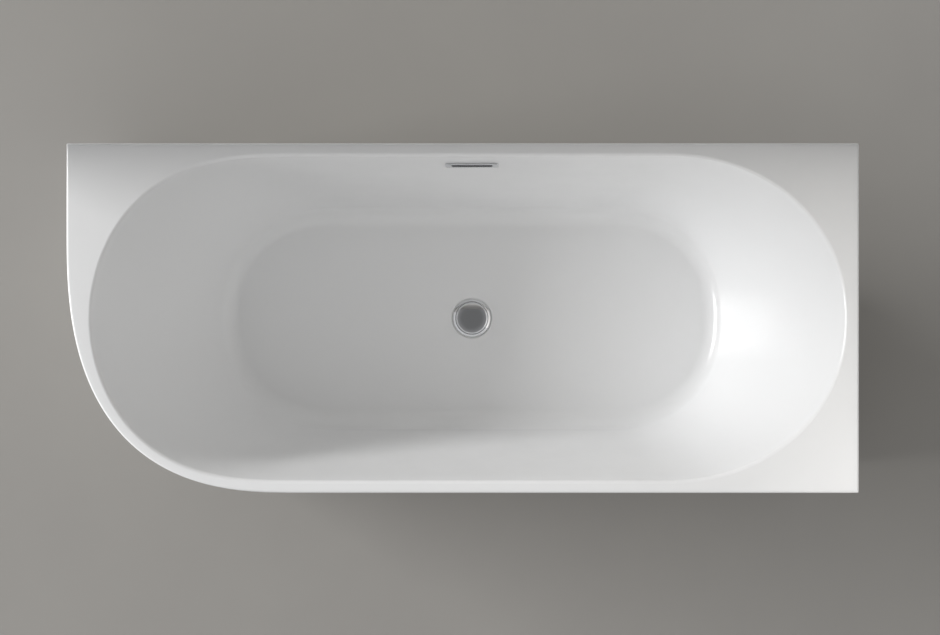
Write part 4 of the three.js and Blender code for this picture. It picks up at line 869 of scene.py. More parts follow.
def washer(outer, inner, bottom, top, bevel):
    """A plate between an outline and a hole of as many points, with bevelled edges."""
    def eased(outline, amount):
        kept = [1 - amount / max(math.hypot(x, y), amount) for x, y in outline]
        return [(x * share, y * share) for (x, y), share in zip(outline, kept)]

    small, wide = eased(outer, bevel), eased(inner, -bevel)
    return stack([(wide, bottom), (small, bottom), (outer, bottom + bevel), (outer, top - bevel),
                  (small, top), (wide, top), (inner, top - bevel), (inner, bottom + bevel)], True)


def thread(radius, depth, pitch, bottom, top, steps=24, per_turn=8):
    """A threaded rod with tapered ends."""
    count = int((top - bottom) / pitch * per_turn)
    rings = []
    for i in range(count + 1):
        height = bottom + (top - bottom) * i / count
        taper = min(1.0, (height - bottom) / pitch, (top - height) / pitch)
        ring = []
        for k, (c, s) in enumerate(circle(1, steps)):
            phase = ((height - bottom) / pitch - k / steps) % 1
            cut = depth * (1 - taper * (1 - abs(2 * phase - 1)))
            ring.append(((radius - cut) * c, (radius - cut) * s, height))
        rings.append(ring)
    return skin(rings, False)


# Outlines of the basin, as unit-free stations that every outline shares

def end_point(angle, centre, length, half_width, powers):
    c, s = math.cos(angle), math.sin(angle)
    along = 0 if abs(c) < NEAR_ZERO else math.copysign(abs(c) ** (2 / powers[0]), c)
    across = 0 if abs(s) < NEAR_ZERO else math.copysign(abs(s) ** (2 / powers[1]), s)
    return np.array([centre + length * along, OPENING_CENTRE_Y + half_width * across])


def outline_point(station, left, right, left_end, right_end, half_width, left_powers, right_powers):
    end, value, side = station
    if end == "side":
        start, stop = left + left_end, right - right_end
        return np.array([start + (stop - start) * value, OPENING_CENTRE_Y + half_width * side])
    if end == "right":
        return end_point(value, right - right_end, right_end, half_width, right_powers)
    return end_point(value, left + left_end, left_end, half_width, left_powers)


def opening_point(station):
    return outline_point(station, OPENING_LEFT, OPENING_RIGHT, OPENING_LEFT_END, OPENING_RIGHT_END,
                         OPENING_HALF_WIDTH, OPENING_LEFT_POWERS, OPENING_RIGHT_POWERS)


def floor_point(station, inset=0.0):
    return outline_point(station, FLOOR_LEFT + inset, FLOOR_RIGHT - inset, FLOOR_LEFT_END - inset,
                         FLOOR_RIGHT_END - inset, FLOOR_HALF_WIDTH - inset, FLOOR_POWERS, FLOOR_POWERS)


def toward_round(x, y):
    """How far a place lies from the round corner's centre, as shares of the corner's size."""
    return (max(ROUND_CENTRE[0] - x, 0) / ROUND_CORNER_LENGTH, max(ROUND_CENTRE[1] - y, 0) / ROUND_CORNER_WIDTH)


def round_level(x, y):
    across, down = toward_round(x, y)
    return across ** ROUND_CORNER_POWER + down ** ROUND_CORNER_POWER


def round_outward(x, y):
    across, down = toward_round(x, y)
    away = np.array([-(across ** (ROUND_CORNER_POWER - 1)) / ROUND_CORNER_LENGTH,
                     -(down ** (ROUND_CORNER_POWER - 1)) / ROUND_CORNER_WIDTH])
    return away / np.linalg.norm(away)


def square_corner_level(x, y, sign_x, sign_y):
    """Above 1 outside the small radius of a square corner."""
    past_x = max(sign_x * x - (HALF_LENGTH - SQUARE_CORNER_RADIUS), 0)
    past_y = max(sign_y * y - (HALF_WIDTH - SQUARE_CORNER_RADIUS), 0)
    return math.hypot(past_x, past_y) / SQUARE_CORNER_RADIUS


class RimPlace:
    """A point of the rim's outline, which can be moved inwards with its corner kept."""

    def __init__(self, place, outward, corner=None):
        self.place, self.outward, self.corner = place, outward, corner

    def inset(self, amount):
        if self.corner is None or amount < SQUARE_CORNER_RADIUS:
            edge = np.array([HALF_LENGTH, HALF_WIDTH]) - amount
            return np.clip(self.place - self.outward * amount, -edge, edge)
        centre, sign = self.corner
        return centre - (amount - SQUARE_CORNER_RADIUS) * sign


def square_corner(sign_x, sign_y):
    sign = np.array([sign_x, sign_y], float)
    return np.array([HALF_LENGTH, HALF_WIDTH]) * sign - SQUARE_CORNER_RADIUS * sign, sign


def halved(low, high, beyond):
    """The two sides of the place from which on the test says beyond."""
    for _ in range(HALVINGS):
        middle = (low + high) / 2
        if beyond(middle):
            high = middle
        else:
            low = middle
    return low, high


def rim_hit(direction):
    """Where a ray from the middle of the opening meets the rim."""
    limits = []
    for part, half, centre in zip(direction, (HALF_LENGTH, HALF_WIDTH), RIM_CENTRE):
        limits.append(math.inf if part == 0 else (math.copysign(half, part) - centre) / part)
    reach = min(limits)
    sign_x, sign_y = math.copysign(1, direction[0]), math.copysign(1, direction[1])
    place = RIM_CENTRE + reach * direction
    at_round = place[0] < ROUND_CENTRE[0] and place[1] < ROUND_CENTRE[1]

    def outside(distance):
        x, y = RIM_CENTRE + distance * direction
        return (round_level(x, y) if at_round else square_corner_level(x, y, sign_x, sign_y)) > 1

    if not outside(reach * (1 - NEAR_ZERO)):
        outward = np.array([sign_x, 0.0]) if limits[0] < limits[1] else np.array([0.0, sign_y])
        return RimPlace(place, outward)
    place = RIM_CENTRE + halved(0.0, reach, outside)[0] * direction
    if at_round:
        return RimPlace(place, round_outward(*place))
    corner = square_corner(sign_x, sign_y)
    away = place - corner[0]
    return RimPlace(place, away / np.linalg.norm(away), corner)


def rim_marks():
    """Points of the rim that must have a station: the small corner arcs and the round corner's ends."""
    marks = [np.array([-HALF_LENGTH, ROUND_CENTRE[1]]), np.array([ROUND_CENTRE[0], -HALF_WIDTH])]
    for signs in ((1, 1), (-1, 1), (1, -1)):
        centre, sign = square_corner(*signs)
        for share in shares(CORNER_MARKS - 1):
            turn = share * math.pi / 2
            marks.append(centre + SQUARE_CORNER_RADIUS * sign * (math.cos(turn), math.sin(turn)))
    return marks


def bearing(vector):
    return math.atan2(vector[1], vector[0])


def make_stations():
    stations = []
    for end, quarter in (("right", 0), ("left", 1), ("left", 2), ("right", 3)):
        angles = [(quarter + share) * math.pi / 2 for share in shares(END_STEPS)]
        first, last = angles[0], angles[-1]
        for wanted in (bearing(mark - RIM_CENTRE) for mark in rim_marks()):
            def turn(angle):
                away = bearing(opening_point((end, angle, 0)) - RIM_CENTRE) - wanted
                return math.atan2(math.sin(away), math.cos(away))

            if turn(first) <= 0 <= turn(last):
                angles.append(sum(halved(first, last, lambda angle: turn(angle) >= 0)) / 2)
        angles.sort()
        if quarter in (1, 3):
            angles.pop()
        stations += [(end, angle, 0) for angle in angles]
        if quarter in (0, 2):
            stations += [("side", 1 - t, 1) if quarter == 0 else ("side", t, -1)
                         for t in shares(SIDE_STEPS + 1)[1:-1]]
    return [s for i, s in enumerate(stations)
            if np.linalg.norm(opening_point(s) - opening_point(stations[i - 1])) > WELD_DISTANCE]


def opening_outward(station):
    end, angle, side = station
    if end == "side":
        return np.array([0.0, side])
    along = opening_point((end, angle + ANGLE_STEP, 0)) - opening_point((end, angle - ANGLE_STEP, 0))
    along /= np.linalg.norm(along)
    return np.array([along[1], -along[0]])


class Section:
    """An upright section of the shell at one station."""

    def __init__(self, station):
        self.top = opening_point(station)
        self.inward = floor_point(station) - self.top
        self.run = -float(self.inward @ opening_outward(station))
        self.slope = math.atan2(RIM_HEIGHT - FLOOR_HEIGHT - FLOOR_FALL, self.run)
        toward = self.top - RIM_CENTRE
        self.rim = rim_hit(toward / np.linalg.norm(toward))

    def at(self, across, height):
        return (*(self.top + self.inward * (across / self.run)), height)

    def top_fillet(self, share, depth=0.0):
        turn, radius = self.slope * share, OPENING_FILLET - depth
        return self.at(-OPENING_FILLET * math.tan(self.slope / 2) + radius * math.sin(turn),
                       RIM_HEIGHT - OPENING_FILLET + radius * math.cos(turn))

    def floor_fillet(self, share, depth=0.0):
        turn, radius = self.slope * (1 - share), FLOOR_FILLET + depth
        return self.at(self.run + FLOOR_FILLET * math.tan(self.slope / 2) - radius * math.sin(turn),
                       FLOOR_HEIGHT + FLOOR_FALL + FLOOR_FILLET - radius * math.cos(turn))

    def wall(self, share, depth=0.0):
        upper, lower = np.array(self.top_fillet(1, depth)), np.array(self.floor_fillet(0, depth))
        return tuple(upper + (lower - upper) * share)

    def rim_point(self, inset, height):
        return (*self.rim.inset(inset), height)

    def drain_point(self, radius, height):
        end = np.array(self.floor_fillet(1)[:2]) - np.array([DRAIN_X, 0])
        away = end / np.linalg.norm(end)
        return (DRAIN_X + radius * away[0], radius * away[1], height)

    def floor(self, share):
        start = np.array(self.floor_fillet(1))
        stop = np.array(self.drain_point(DRAIN_RECESS_RADIUS + 2 * DRAIN_RECESS_DRAFT, FLOOR_HEIGHT))
        return tuple(start + (stop - start) * share)

    def underside(self):
        return (*self.floor_fillet(1, SHELL_WALL)[:2], FLOOR_UNDERSIDE)


def shell_rings(sections):
    """Rings of the polished side, then of the fibreglass side."""
    def ring(make, *values):
        return [make(section, *values) for section in sections]

    edge, foot, lip_foot = RIM_EDGE_RADIUS, LIP_FOOT_ROUND, RIM_HEIGHT - LIP_HEIGHT
    rim = [(foot, lip_foot), (0.3 * foot, lip_foot + 0.3 * foot), (0, lip_foot + foot), (0, RIM_HEIGHT - 1.4 * edge)]
    rim += [(edge * (1 - math.cos(turn)), RIM_HEIGHT - edge + edge * math.sin(turn))
            for turn in (math.pi / 2 * t for t in shares(RIM_EDGE_STEPS))]
    rim.append((1.6 * edge, RIM_HEIGHT))
    recess, draft = DRAIN_RECESS_RADIUS, DRAIN_RECESS_DRAFT
    drain = [(recess + 1.3 * draft, FLOOR_HEIGHT - 0.1 * draft), (recess + 0.7 * draft, FLOOR_HEIGHT - 0.6 * draft),
             (recess + 0.3 * draft, RECESS_FLOOR + 0.3 * draft), (recess, RECESS_FLOOR),
             (DRAIN_HOLE_RADIUS, RECESS_FLOOR)]
    polished = [ring(Section.rim_point, *place) for place in rim]
    polished += [ring(Section.top_fillet, t) for t in shares(TOP_FILLET_STEPS)]
    polished += [ring(Section.wall, t) for t in shares(WALL_STEPS)[1:-1]]
    polished += [ring(Section.floor_fillet, t) for t in shares(FLOOR_FILLET_STEPS)]
    polished += [ring(Section.floor, t) for t in shares(FLOOR_STEPS)[1:]]
    polished += [ring(Section.drain_point, *place) for place in drain]

    wall, boss = SHELL_WALL, DRAIN_RECESS_RADIUS + DRAIN_BOSS_MARGIN
    hidden = [ring(Section.drain_point, DRAIN_HOLE_RADIUS, RECESS_UNDERSIDE),
              ring(Section.drain_point, boss, RECESS_UNDERSIDE),
              ring(Section.drain_point, boss + draft, FLOOR_UNDERSIDE), ring(Section.underside)]
    hidden += [ring(Section.floor_fillet, 1 - t, wall) for t in shares(FLOOR_FILLET_STEPS)]
    hidden += [ring(Section.wall, 1 - t, wall) for t in shares(WALL_STEPS)[1:-1]]
    hidden += [ring(Section.top_fillet, 1 - t, wall) for t in shares(TOP_FILLET_STEPS)]
    hidden += [ring(Section.rim_point, wall, height) for height in (RIM_HEIGHT - wall, lip_foot)]
    return polished, hidden


def make_shell():
    sections = [Section(station) for station in make_stations()]
    polished, hidden = shell_rings(sections)
    points, faces = skin(polished + hidden, True)
    shown = len(polished) * len(sections)
    throat = placed(box(*THROAT, 6 * SHELL_WALL), OVERFLOW_FRAME)
    fit("tub_shell", "acrylic", (points, faces), cuts=[throat],
        face_slots=[0 if i < shown else 1 for i in range(len(faces))])


# Skirt

def skirt_inset(height):
    return SKIRT_DRAFT * (SKIRT_TOP - height) / (SKIRT_TOP - SKIRT_FLOOR_GAP)


def skirt_path():
    """Outer outline from the return at the back wall, round the left and the front, to the right wall."""
    def arc(sign_x, sign_y, first):
        corner, path = square_corner(sign_x, sign_y), []
        for i in range(CORNER_MARKS + 1):
            turn = first + math.pi / 2 * i / CORNER_MARKS
            outward = np.array([math.cos(turn), math.sin(turn)])
            path.append(RimPlace(corner[0] + SQUARE_CORNER_RADIUS * outward, outward, corner))
        return path

    path = [RimPlace(np.array([-HALF_LENGTH + SKIRT_RETURN, HALF_WIDTH]), np.array([0.0, 1.0]))]
    path += arc(-1, 1, math.pi / 2)
    for i in range(SKIRT_ROUND_STEPS + 1):
        turn = math.pi / 2 * i / SKIRT_ROUND_STEPS
        across, down = math.cos(turn) ** (2 / ROUND_CORNER_POWER), math.sin(turn) ** (2 / ROUND_CORNER_POWER)
        place = ROUND_CENTRE - np.array([ROUND_CORNER_LENGTH * across, ROUND_CORNER_WIDTH * down])
        path.append(RimPlace(place, round_outward(*place)))
    path += arc(1, -1, -math.pi / 2)
    path.append(RimPlace(np.array([HALF_LENGTH, -HALF_WIDTH + SKIRT_RETURN]), np.array([1.0, 0.0])))
    return path


def make_skirt():
    low, flange_top = SKIRT_FLOOR_GAP, SKIRT_FLOOR_GAP + SKIRT_WALL
    section = round_corners([
        (skirt_inset(low), low), (skirt_inset(SKIRT_TOP), SKIRT_TOP), (skirt_inset(SKIRT_TOP) + SKIRT_WALL, SKIRT_TOP),
        (skirt_inset(flange_top) + SKIRT_WALL, flange_top), (skirt_inset(flange_top) + SKIRT_FLANGE, flange_top),
        (skirt_inset(low) + SKIRT_FLANGE, low)], SKIRT_EDGE_RADIUS)
    points, faces = skin([[(*place.inset(inset), height) for inset, height in section]
                          for place in skirt_path()], False)
    size, walls = len(section), len(faces) - 2
    return fit("skirt", "acrylic", (points, faces), face_slots=[
        0 if i < walls and i % size < 2 * SKIRT_CORNER_POINTS else 1 for i in range(len(faces))])


# Boards and frame

def make_boards():
    outer = [tuple(floor_point(station, BOARD_INSET)) for station in make_stations()]
    inner = [(DRAIN_X + BOARD_HOLE_RADIUS * math.cos(a), BOARD_HOLE_RADIUS * math.sin(a))
             for a in (math.atan2(y, x - DRAIN_X) for x, y in outer)]
    fit("base_board", "board", washer(outer, inner, BOARD_BOTTOM, BOARD_TOP, BOARD_BEVEL))
    for corner in ("back_left", "back_right", "front_right"):
        for slot in frame["nodes"][f"corner_board_{corner}"].material_slots:
            slot.material = FINISHES["board"][0]


def tube(length):
    """A rounded square tube along +Z, centred."""
    outer = rounded_rectangle(TUBE_SIZE, TUBE_SIZE, TUBE_CORNER)
    inner = rounded_rectangle(TUBE_BORE, TUBE_BORE, TUBE_CORNER / 3)
    return washer(outer, inner, -length / 2, length / 2, TUBE_BEVEL)


def end_caps(end, lie):
    """Moulded plugs in both ends of a tube."""
    bore = TUBE_BORE - 2 * SEAT_GAP
    face = rounded_rectangle(TUBE_SIZE, TUBE_SIZE, TUBE_CORNER)
    tongue = rounded_rectangle(bore, bore, TUBE_CORNER / 3)
    levels = ((scaled(tongue, 0.9), -4 * TUBE_WALL), (tongue, -3 * TUBE_WALL), (tongue, SEAT_GAP), (face, SEAT_GAP),
              (face, TUBE_CAP_RIM), (scaled(face, 0.92), 1.5 * TUBE_CAP_RIM))
    return [placed(stack([(outline, sign * (end + past)) for outline, past in levels]), lie) for sign in (-1, 1)]


def weld_bead(start, stop):
    """A rippled bead from one point to another."""
    start, stop = Vector(start), Vector(stop)
    along = (stop - start).normalized()
    side = along.orthogonal().normalized()
    up = along.cross(side)
    count = int((stop - start).length / WELD_STEP)
    rings = []
    for i, share in enumerate(shares(2 * count)):
        ends = math.sin(math.pi * min(max(share, 0.04), 0.96)) ** 0.3
        reach = WELD_RADIUS * ends * (1 if i % 2 else 0.86)
        centre = start.lerp(stop, share)
        rings.append([centre + reach * (c * side + s * up) for c, s in circle(1, WIRE_SIDES)])
    return skin(rings, False)


def make_frame():
    caps, welds = [], []
    middle, length = (RAIL_LEFT + RAIL_RIGHT) / 2, RAIL_RIGHT - RAIL_LEFT
    for name, y in (("rail_front", -RAIL_SPREAD), ("rail_back", RAIL_SPREAD)):
        lie = stand((middle, y, RAIL_TOP - TUBE_SIZE / 2), ALONG_X)
        fit(name, "frame_steel", placed(tube(length), lie), f"{name}_tube")
        caps += end_caps(length / 2, lie)
    hole = stack([(circle(STUD_RADIUS + 2 * SEAT_GAP, 32), z) for z in (-2 * TUBE_WALL, 2 * TUBE_WALL)])
    reach, past = TUBE_SIZE / 2 - WELD_RADIUS / 2, WELD_RADIUS / 3
    for name, x in (("left", CROSS_LEFT), ("middle", CROSS_MIDDLE), ("right", CROSS_RIGHT)):
        lie = stand((x, 0, CROSS_TOP - TUBE_SIZE / 2), ALONG_Y)
        cuts = [shifted(hole, x, foot_y, CROSS_BOTTOM) for foot_x, foot_y in FEET.values() if foot_x == x]
        fit(f"cross_bar_{name}", "frame_steel", placed(tube(2 * CROSS_HALF), lie), f"cross_bar_{name}_tube", cuts)
        caps += end_caps(CROSS_HALF, lie)
        for y in (-RAIL_SPREAD, RAIL_SPREAD):
            for edge in (y - (TUBE_SIZE / 2 + past), y + (TUBE_SIZE / 2 + past)):
                welds.append(weld_bead((x - reach, edge, CROSS_TOP + past), (x + reach, edge, CROSS_TOP + past)))
    add_fixed("frame_welds", "frame_steel", *welds)
    add_fixed("tube_end_caps", "foot_plastic", *caps)


# Levelling feet

def make_feet():
    socket, socket_floor = STUD_BALL_RADIUS + SEAT_GAP, PAD_HEIGHT - STUD_SOCKET_DEPTH
    pad = lathe([(0, 0), (PAD_RADIUS, 0), (PAD_RADIUS, PAD_FLANGE), (PAD_NECK_RADIUS, PAD_FLANGE),
                 (PAD_NECK_RADIUS - 2 * SEAT_GAP, PAD_HEIGHT), (socket, PAD_HEIGHT), (socket, socket_floor),
                 (0, socket_floor)], BOLD_ROUND)
    root, tip = PAD_NECK_RADIUS - RIB_BURIED, PAD_RADIUS - RIB_SETBACK
    side = [(root, PAD_FLANGE - RIB_BURIED), (tip, PAD_FLANGE - RIB_BURIED), (tip, PAD_FLANGE),
            (root, PAD_HEIGHT - RIB_SETBACK)]
    ribs = spun(slab(round_corners(side, EDGE_ROUND), PAD_RIB_WIDTH), PAD_RIBS)

    ball_bottom, hex_bottom = socket_floor + SEAT_GAP, PAD_HEIGHT + 2 * SEAT_GAP
    hex_top = hex_bottom + STUD_HEX_HEIGHT
    ball = collar(0, STUD_BALL_RADIUS, ball_bottom, hex_bottom + RIB_BURIED, STUD_BALL_ROUND)
    flats = hexagon(STUD_HEX_RADIUS)
    eased = scaled(flats, 0.9)
    grip = stack([(eased, hex_bottom), (flats, hex_bottom + HEX_BEVEL), (flats, hex_top - HEX_BEVEL), (eased, hex_top)])
    rod = thread(STUD_RADIUS, THREAD_DEPTH, THREAD_PITCH, hex_top - RIB_BURIED,
                 CROSS_TOP - TUBE_WALL - FOOT_RETRACT - 2 * SEAT_GAP)
    outline, nut_top = hexagon(NUT_RADIUS), CROSS_BOTTOM - SEAT_GAP
    nut = washer(outline, circle(STUD_RADIUS + SEAT_GAP, len(outline)), nut_top - NUT_HEIGHT, nut_top, BOLD_ROUND)
    for place, spot in FEET.items():
        for piece, body, slot_name in (("pad", joined(pad, *ribs), "foot_plastic"),
                                       ("stud", joined(ball, grip, rod), "zinc_steel"), ("nut", nut, "zinc_steel")):
            fit(f"foot_{piece}_{place}", slot_name, shifted(body, *spot), f"{piece}_{place}")


# Skirt brackets

def screw():
    """A flanged hexagon head with a dished top, standing on zero."""
    radius, height = SCREW_RADIUS, SCREW_HEIGHT
    flange = lathe([(0, 0), (1.5 * radius, 0), (1.5 * radius, 0.16 * height), (0.9 * radius, 0.3 * height),
                    (0, 0.3 * height)], 0.1 * height, 30)
    flats, eased = hexagon(radius, 5), hexagon(0.9 * radius, 5)
    dish = scaled(eased, 0.6)
    head = stack([(flats, 0.1 * height), (flats, 0.88 * height), (eased, height), (dish, height),
                  (scaled(dish, 0.8), 0.85 * height)])
    return joined(flange, head)


def foot_face_left(y):
    down = toward_round(0, y)[1]
    across = (1 - down ** ROUND_CORNER_POWER) ** (1 / ROUND_CORNER_POWER)
    x = ROUND_CENTRE[0] - ROUND_CORNER_LENGTH * across
    return x - SKIRT_FOOT_INSET / round_outward(x, y)[0]


def foot_face_front(x):
    across = toward_round(x, 0)[0]
    down = (1 - across ** ROUND_CORNER_POWER) ** (1 / ROUND_CORNER_POWER)
    y = ROUND_CENTRE[1] - ROUND_CORNER_WIDTH * down
    return y - SKIRT_FOOT_INSET / round_outward(x, y)[1]


def strap(reach, tube_top):
    """A bent strap that laps the frame to the right of zero and runs towards -X, down to the flange."""
    low, bottom = tube_top + SEAT_GAP, SKIRT_FLOOR_GAP + SKIRT_WALL + SEAT_GAP
    t, riser = BRACKET_SHEET, reach - BRACKET_FOOT
    side = [(BRACKET_LAP, low), (BRACKET_LAP, low + t), (-riser - t, low + t), (-riser - t, bottom + t),
            (-reach, bottom + t), (-reach, bottom), (-riser, bottom), (-riser, low)]
    bends = {2: BRACKET_BEND, 3: BRACKET_BEND - t, 6: BRACKET_BEND, 7: BRACKET_BEND - t}
    outline = []
    for i, corner in enumerate(side):
        outline += round_corner(side[i - 1], corner, side[(i + 1) % len(side)], bends.get(i, EDGE_ROUND), 5)
    screws = [shifted(screw(), x, y, z + t) for x, y, z in (
        (BRACKET_LAP / 2, -BRACKET_WIDTH / 4, low), (BRACKET_LAP / 2, BRACKET_WIDTH / 4, low),
        (-reach + BRACKET_FOOT / 2, 0, bottom))]
    return slab(outline, BRACKET_WIDTH), joined(*screws)


def make_brackets():
    half, places = BRACKET_WIDTH / 2, {}
    for place, y in (("left_back", RAIL_SPREAD), ("left_front", -RAIL_SPREAD)):
        reach = RAIL_LEFT - max(foot_face_left(y - half), foot_face_left(y + half))
        places[place] = (reach, RAIL_TOP, Matrix.Translation((RAIL_LEFT, y, 0)))
    for place, x in (("front_left", CROSS_LEFT), ("front_middle", CROSS_MIDDLE), ("front_right", CROSS_RIGHT)):
        reach = -CROSS_HALF - max(foot_face_front(x - half), foot_face_front(x + half))
        turned = Matrix.Translation((x, -CROSS_HALF, 0)) @ Matrix.Rotation(math.pi / 2, 4, "Z")
        places[place] = (reach, CROSS_TOP, turned)
    for place, (reach, top, lie) in places.items():
        sheet, screws = strap(reach, top)
        fit(f"skirt_bracket_{place}", "bracket_steel", placed(sheet, lie), f"bracket_{place}")
        add_fixed(f"bracket_screws_{place}", "zinc_steel", placed(screws, lie))


# Waste fitting, from the recess that the flange sits in

FLANGE_BOTTOM = WASHER_THICKNESS + 2 * SEAT_GAP
FLANGE_SEAT = FLANGE_BOTTOM + FLANGE_THICKNESS - FLANGE_SEAT_DEPTH
FLANGE_LIP = FLANGE_BOTTOM + FLANGE_THICKNESS
CAP_BOTTOM = FLANGE_SEAT + SEAL_THICKNESS + 2 * SEAT_GAP
COLLAR_BOTTOM = -WEB_DROP + SEAT_GAP
COLLAR_TOP = COLLAR_BOTTOM + CARTRIDGE_COLLAR_HEIGHT
BARREL_BOTTOM = COLLAR_TOP - 2 * CARTRIDGE_END - SPRING_LENGTH - PLUNGER_PISTON_HEIGHT - PLUG_TRAVEL - 4 * SEAT_GAP
BARREL_FLOOR = BARREL_BOTTOM + CARTRIDGE_END
PISTON_BOTTOM = BARREL_FLOOR + SPRING_LENGTH + 2 * SEAT_GAP
PISTON_TOP = PISTON_BOTTOM + PLUNGER_PISTON_HEIGHT


def flange():
    """The chrome ring with its crown, its threaded tail and the web for the cartridge."""
    bore, ridge = TAIL_RADIUS - TAIL_WALL, TAIL_PITCH / 4
    ridges = []
    for i in range(int((TAIL_LENGTH - 2 * TAIL_PITCH) / TAIL_PITCH)):
        z = -TAIL_LENGTH + TAIL_PITCH * (i + 1)
        ridges += [(TAIL_RADIUS - 2 * ridge, z - ridge), (TAIL_RADIUS, z), (TAIL_RADIUS - 2 * ridge, z + ridge)]
    crest = CAP_RADIUS + 2 * SEAT_GAP
    crown = [(FLANGE_RADIUS - (FLANGE_RADIUS - crest) * t, FLANGE_LIP - FLANGE_CROWN * (1 - t) ** CROWN_POWER)
             for t in shares(10)]
    shell = lathe([
        (TAIL_RADIUS - 2 * ridge, -TAIL_LENGTH), *ridges, (TAIL_RADIUS, -TAIL_PITCH), (TAIL_RADIUS, FLANGE_BOTTOM),
        (FLANGE_RADIUS, FLANGE_BOTTOM), *crown, (crest - SEAT_GAP, FLANGE_SEAT), (TAIL_RADIUS, FLANGE_SEAT),
        (bore, FLANGE_BOTTOM - TAIL_WALL), (bore, -TAIL_LENGTH)], SOFT_ROUND)
    hub = collar(CARTRIDGE_RADIUS + SEAT_GAP, CARTRIDGE_RADIUS + TAIL_WALL, -WEB_DROP - WEB_DEPTH, -WEB_DROP,
                 steps=SMALL_STEPS)
    start = CARTRIDGE_RADIUS + TAIL_WALL / 2
    length = bore + TAIL_WALL / 2 - start
    arm = shifted(box(length, WEB_ARM, WEB_DEPTH, THIN_ROUND), start + length / 2, 0, -WEB_DROP - WEB_DEPTH / 2)
    return joined(shell, hub, *spun(arm, WEB_ARMS))


def cap():
    """A shallow dome that rolls over into a full edge."""
    edge_bottom = CAP_BOTTOM + CAP_FOOT
    start = CAP_RADIUS - CAP_ROLL * (1 - math.sin(CAP_SLOPE))
    arc_top = edge_bottom + CAP_ROLL * math.cos(CAP_SLOPE)
    sphere = start / math.sin(CAP_SLOPE)
    profile = [(0, CAP_BOTTOM), (CAP_RADIUS - CAP_FOOT, CAP_BOTTOM), (CAP_RADIUS, edge_bottom)]
    profile += [(CAP_RADIUS - CAP_ROLL * (1 - math.sin(turn)), edge_bottom + CAP_ROLL * math.cos(turn))
                for turn in np.linspace(math.pi / 2, CAP_SLOPE, CAP_ROLL_STEPS)[1:]]
    profile += [(sphere * math.sin(turn), arc_top + sphere * (math.cos(turn) - math.cos(CAP_SLOPE)))
                for turn in np.linspace(CAP_SLOPE, 0, CAP_DOME_STEPS)[1:-1]]
    return lathe(profile + [(0, arc_top + sphere * (1 - math.cos(CAP_SLOPE)))], 0)


def spring():
    """A compression spring with closed ends."""
    radius = (CARTRIDGE_BORE + PLUNGER_ROD) / 2
    bottom, climb = BARREL_FLOOR + SEAT_GAP + SPRING_WIRE, SPRING_LENGTH - 2 * SPRING_WIRE
    rings = []
    for i, share in enumerate(shares(SPRING_TURNS * SPRING_STEPS)):
        turn = i / SPRING_STEPS * 2 * math.pi
        rings.append([((radius + SPRING_WIRE * c) * math.cos(turn), (radius + SPRING_WIRE * c) * math.sin(turn),
                       bottom + climb * share + SPRING_WIRE * s) for c, s in circle(1, WIRE_SIDES)])
    return skin(rings, False)


def make_waste():
    cartridge = lathe([
        (0, BARREL_BOTTOM), (CARTRIDGE_RADIUS, BARREL_BOTTOM), (CARTRIDGE_RADIUS, COLLAR_BOTTOM),
        (CARTRIDGE_COLLAR, COLLAR_BOTTOM), (CARTRIDGE_COLLAR, COLLAR_TOP), (CARTRIDGE_NECK, COLLAR_TOP),
        (CARTRIDGE_NECK, COLLAR_TOP - CARTRIDGE_END), (CARTRIDGE_BORE, COLLAR_TOP - CARTRIDGE_END),
        (CARTRIDGE_BORE, BARREL_FLOOR), (0, BARREL_FLOOR)], steps=SMALL_STEPS)
    plunger = lathe([
        (0, PISTON_BOTTOM), (PLUNGER_PISTON, PISTON_BOTTOM), (PLUNGER_PISTON, PISTON_TOP), (PLUNGER_ROD, PISTON_TOP),
        (PLUNGER_ROD, CAP_BOTTOM - SEAT_GAP), (0, CAP_BOTTOM - SEAT_GAP)], steps=SMALL_STEPS)
    for node, slot_name, body in (
            ("drain_flange", "chrome", flange()),
            ("drain_washer", "rubber", collar(DRAIN_HOLE_RADIUS + FLANGE_BEAD, FLANGE_RADIUS - FLANGE_BEAD, SEAT_GAP,
                                              FLANGE_BOTTOM - SEAT_GAP, THIN_ROUND)),
            ("plug_cartridge", "dark_plastic", cartridge),
            ("plug_plunger", "zinc_steel", plunger),
            ("plug_seal", "rubber", collar(SEAL_INNER_RADIUS, SEAL_OUTER_RADIUS, FLANGE_SEAT + SEAT_GAP,
                                           CAP_BOTTOM - SEAT_GAP, SOFT_ROUND)),
            ("plug_cap", "chrome", cap()),
            ("plug_spring", "zinc_steel", spring())):
        fit(node, slot_name, shifted(body, DRAIN_X, 0, RECESS_FLOOR))


# Waste body, trap and outlet

def side_spigot(radius, bore, start, stop, height):
    """A pipe end along +Y with a raised barb."""
    profile = [(bore, start), (radius, start), (radius, stop - BARB_NECK), (radius + BARB_RISE, stop - BARB_LENGTH),
               (radius, stop), (bore, stop)]
    return placed(lathe(profile, EDGE_ROUND, SMALL_STEPS), stand((0, 0, height), ALONG_Y))


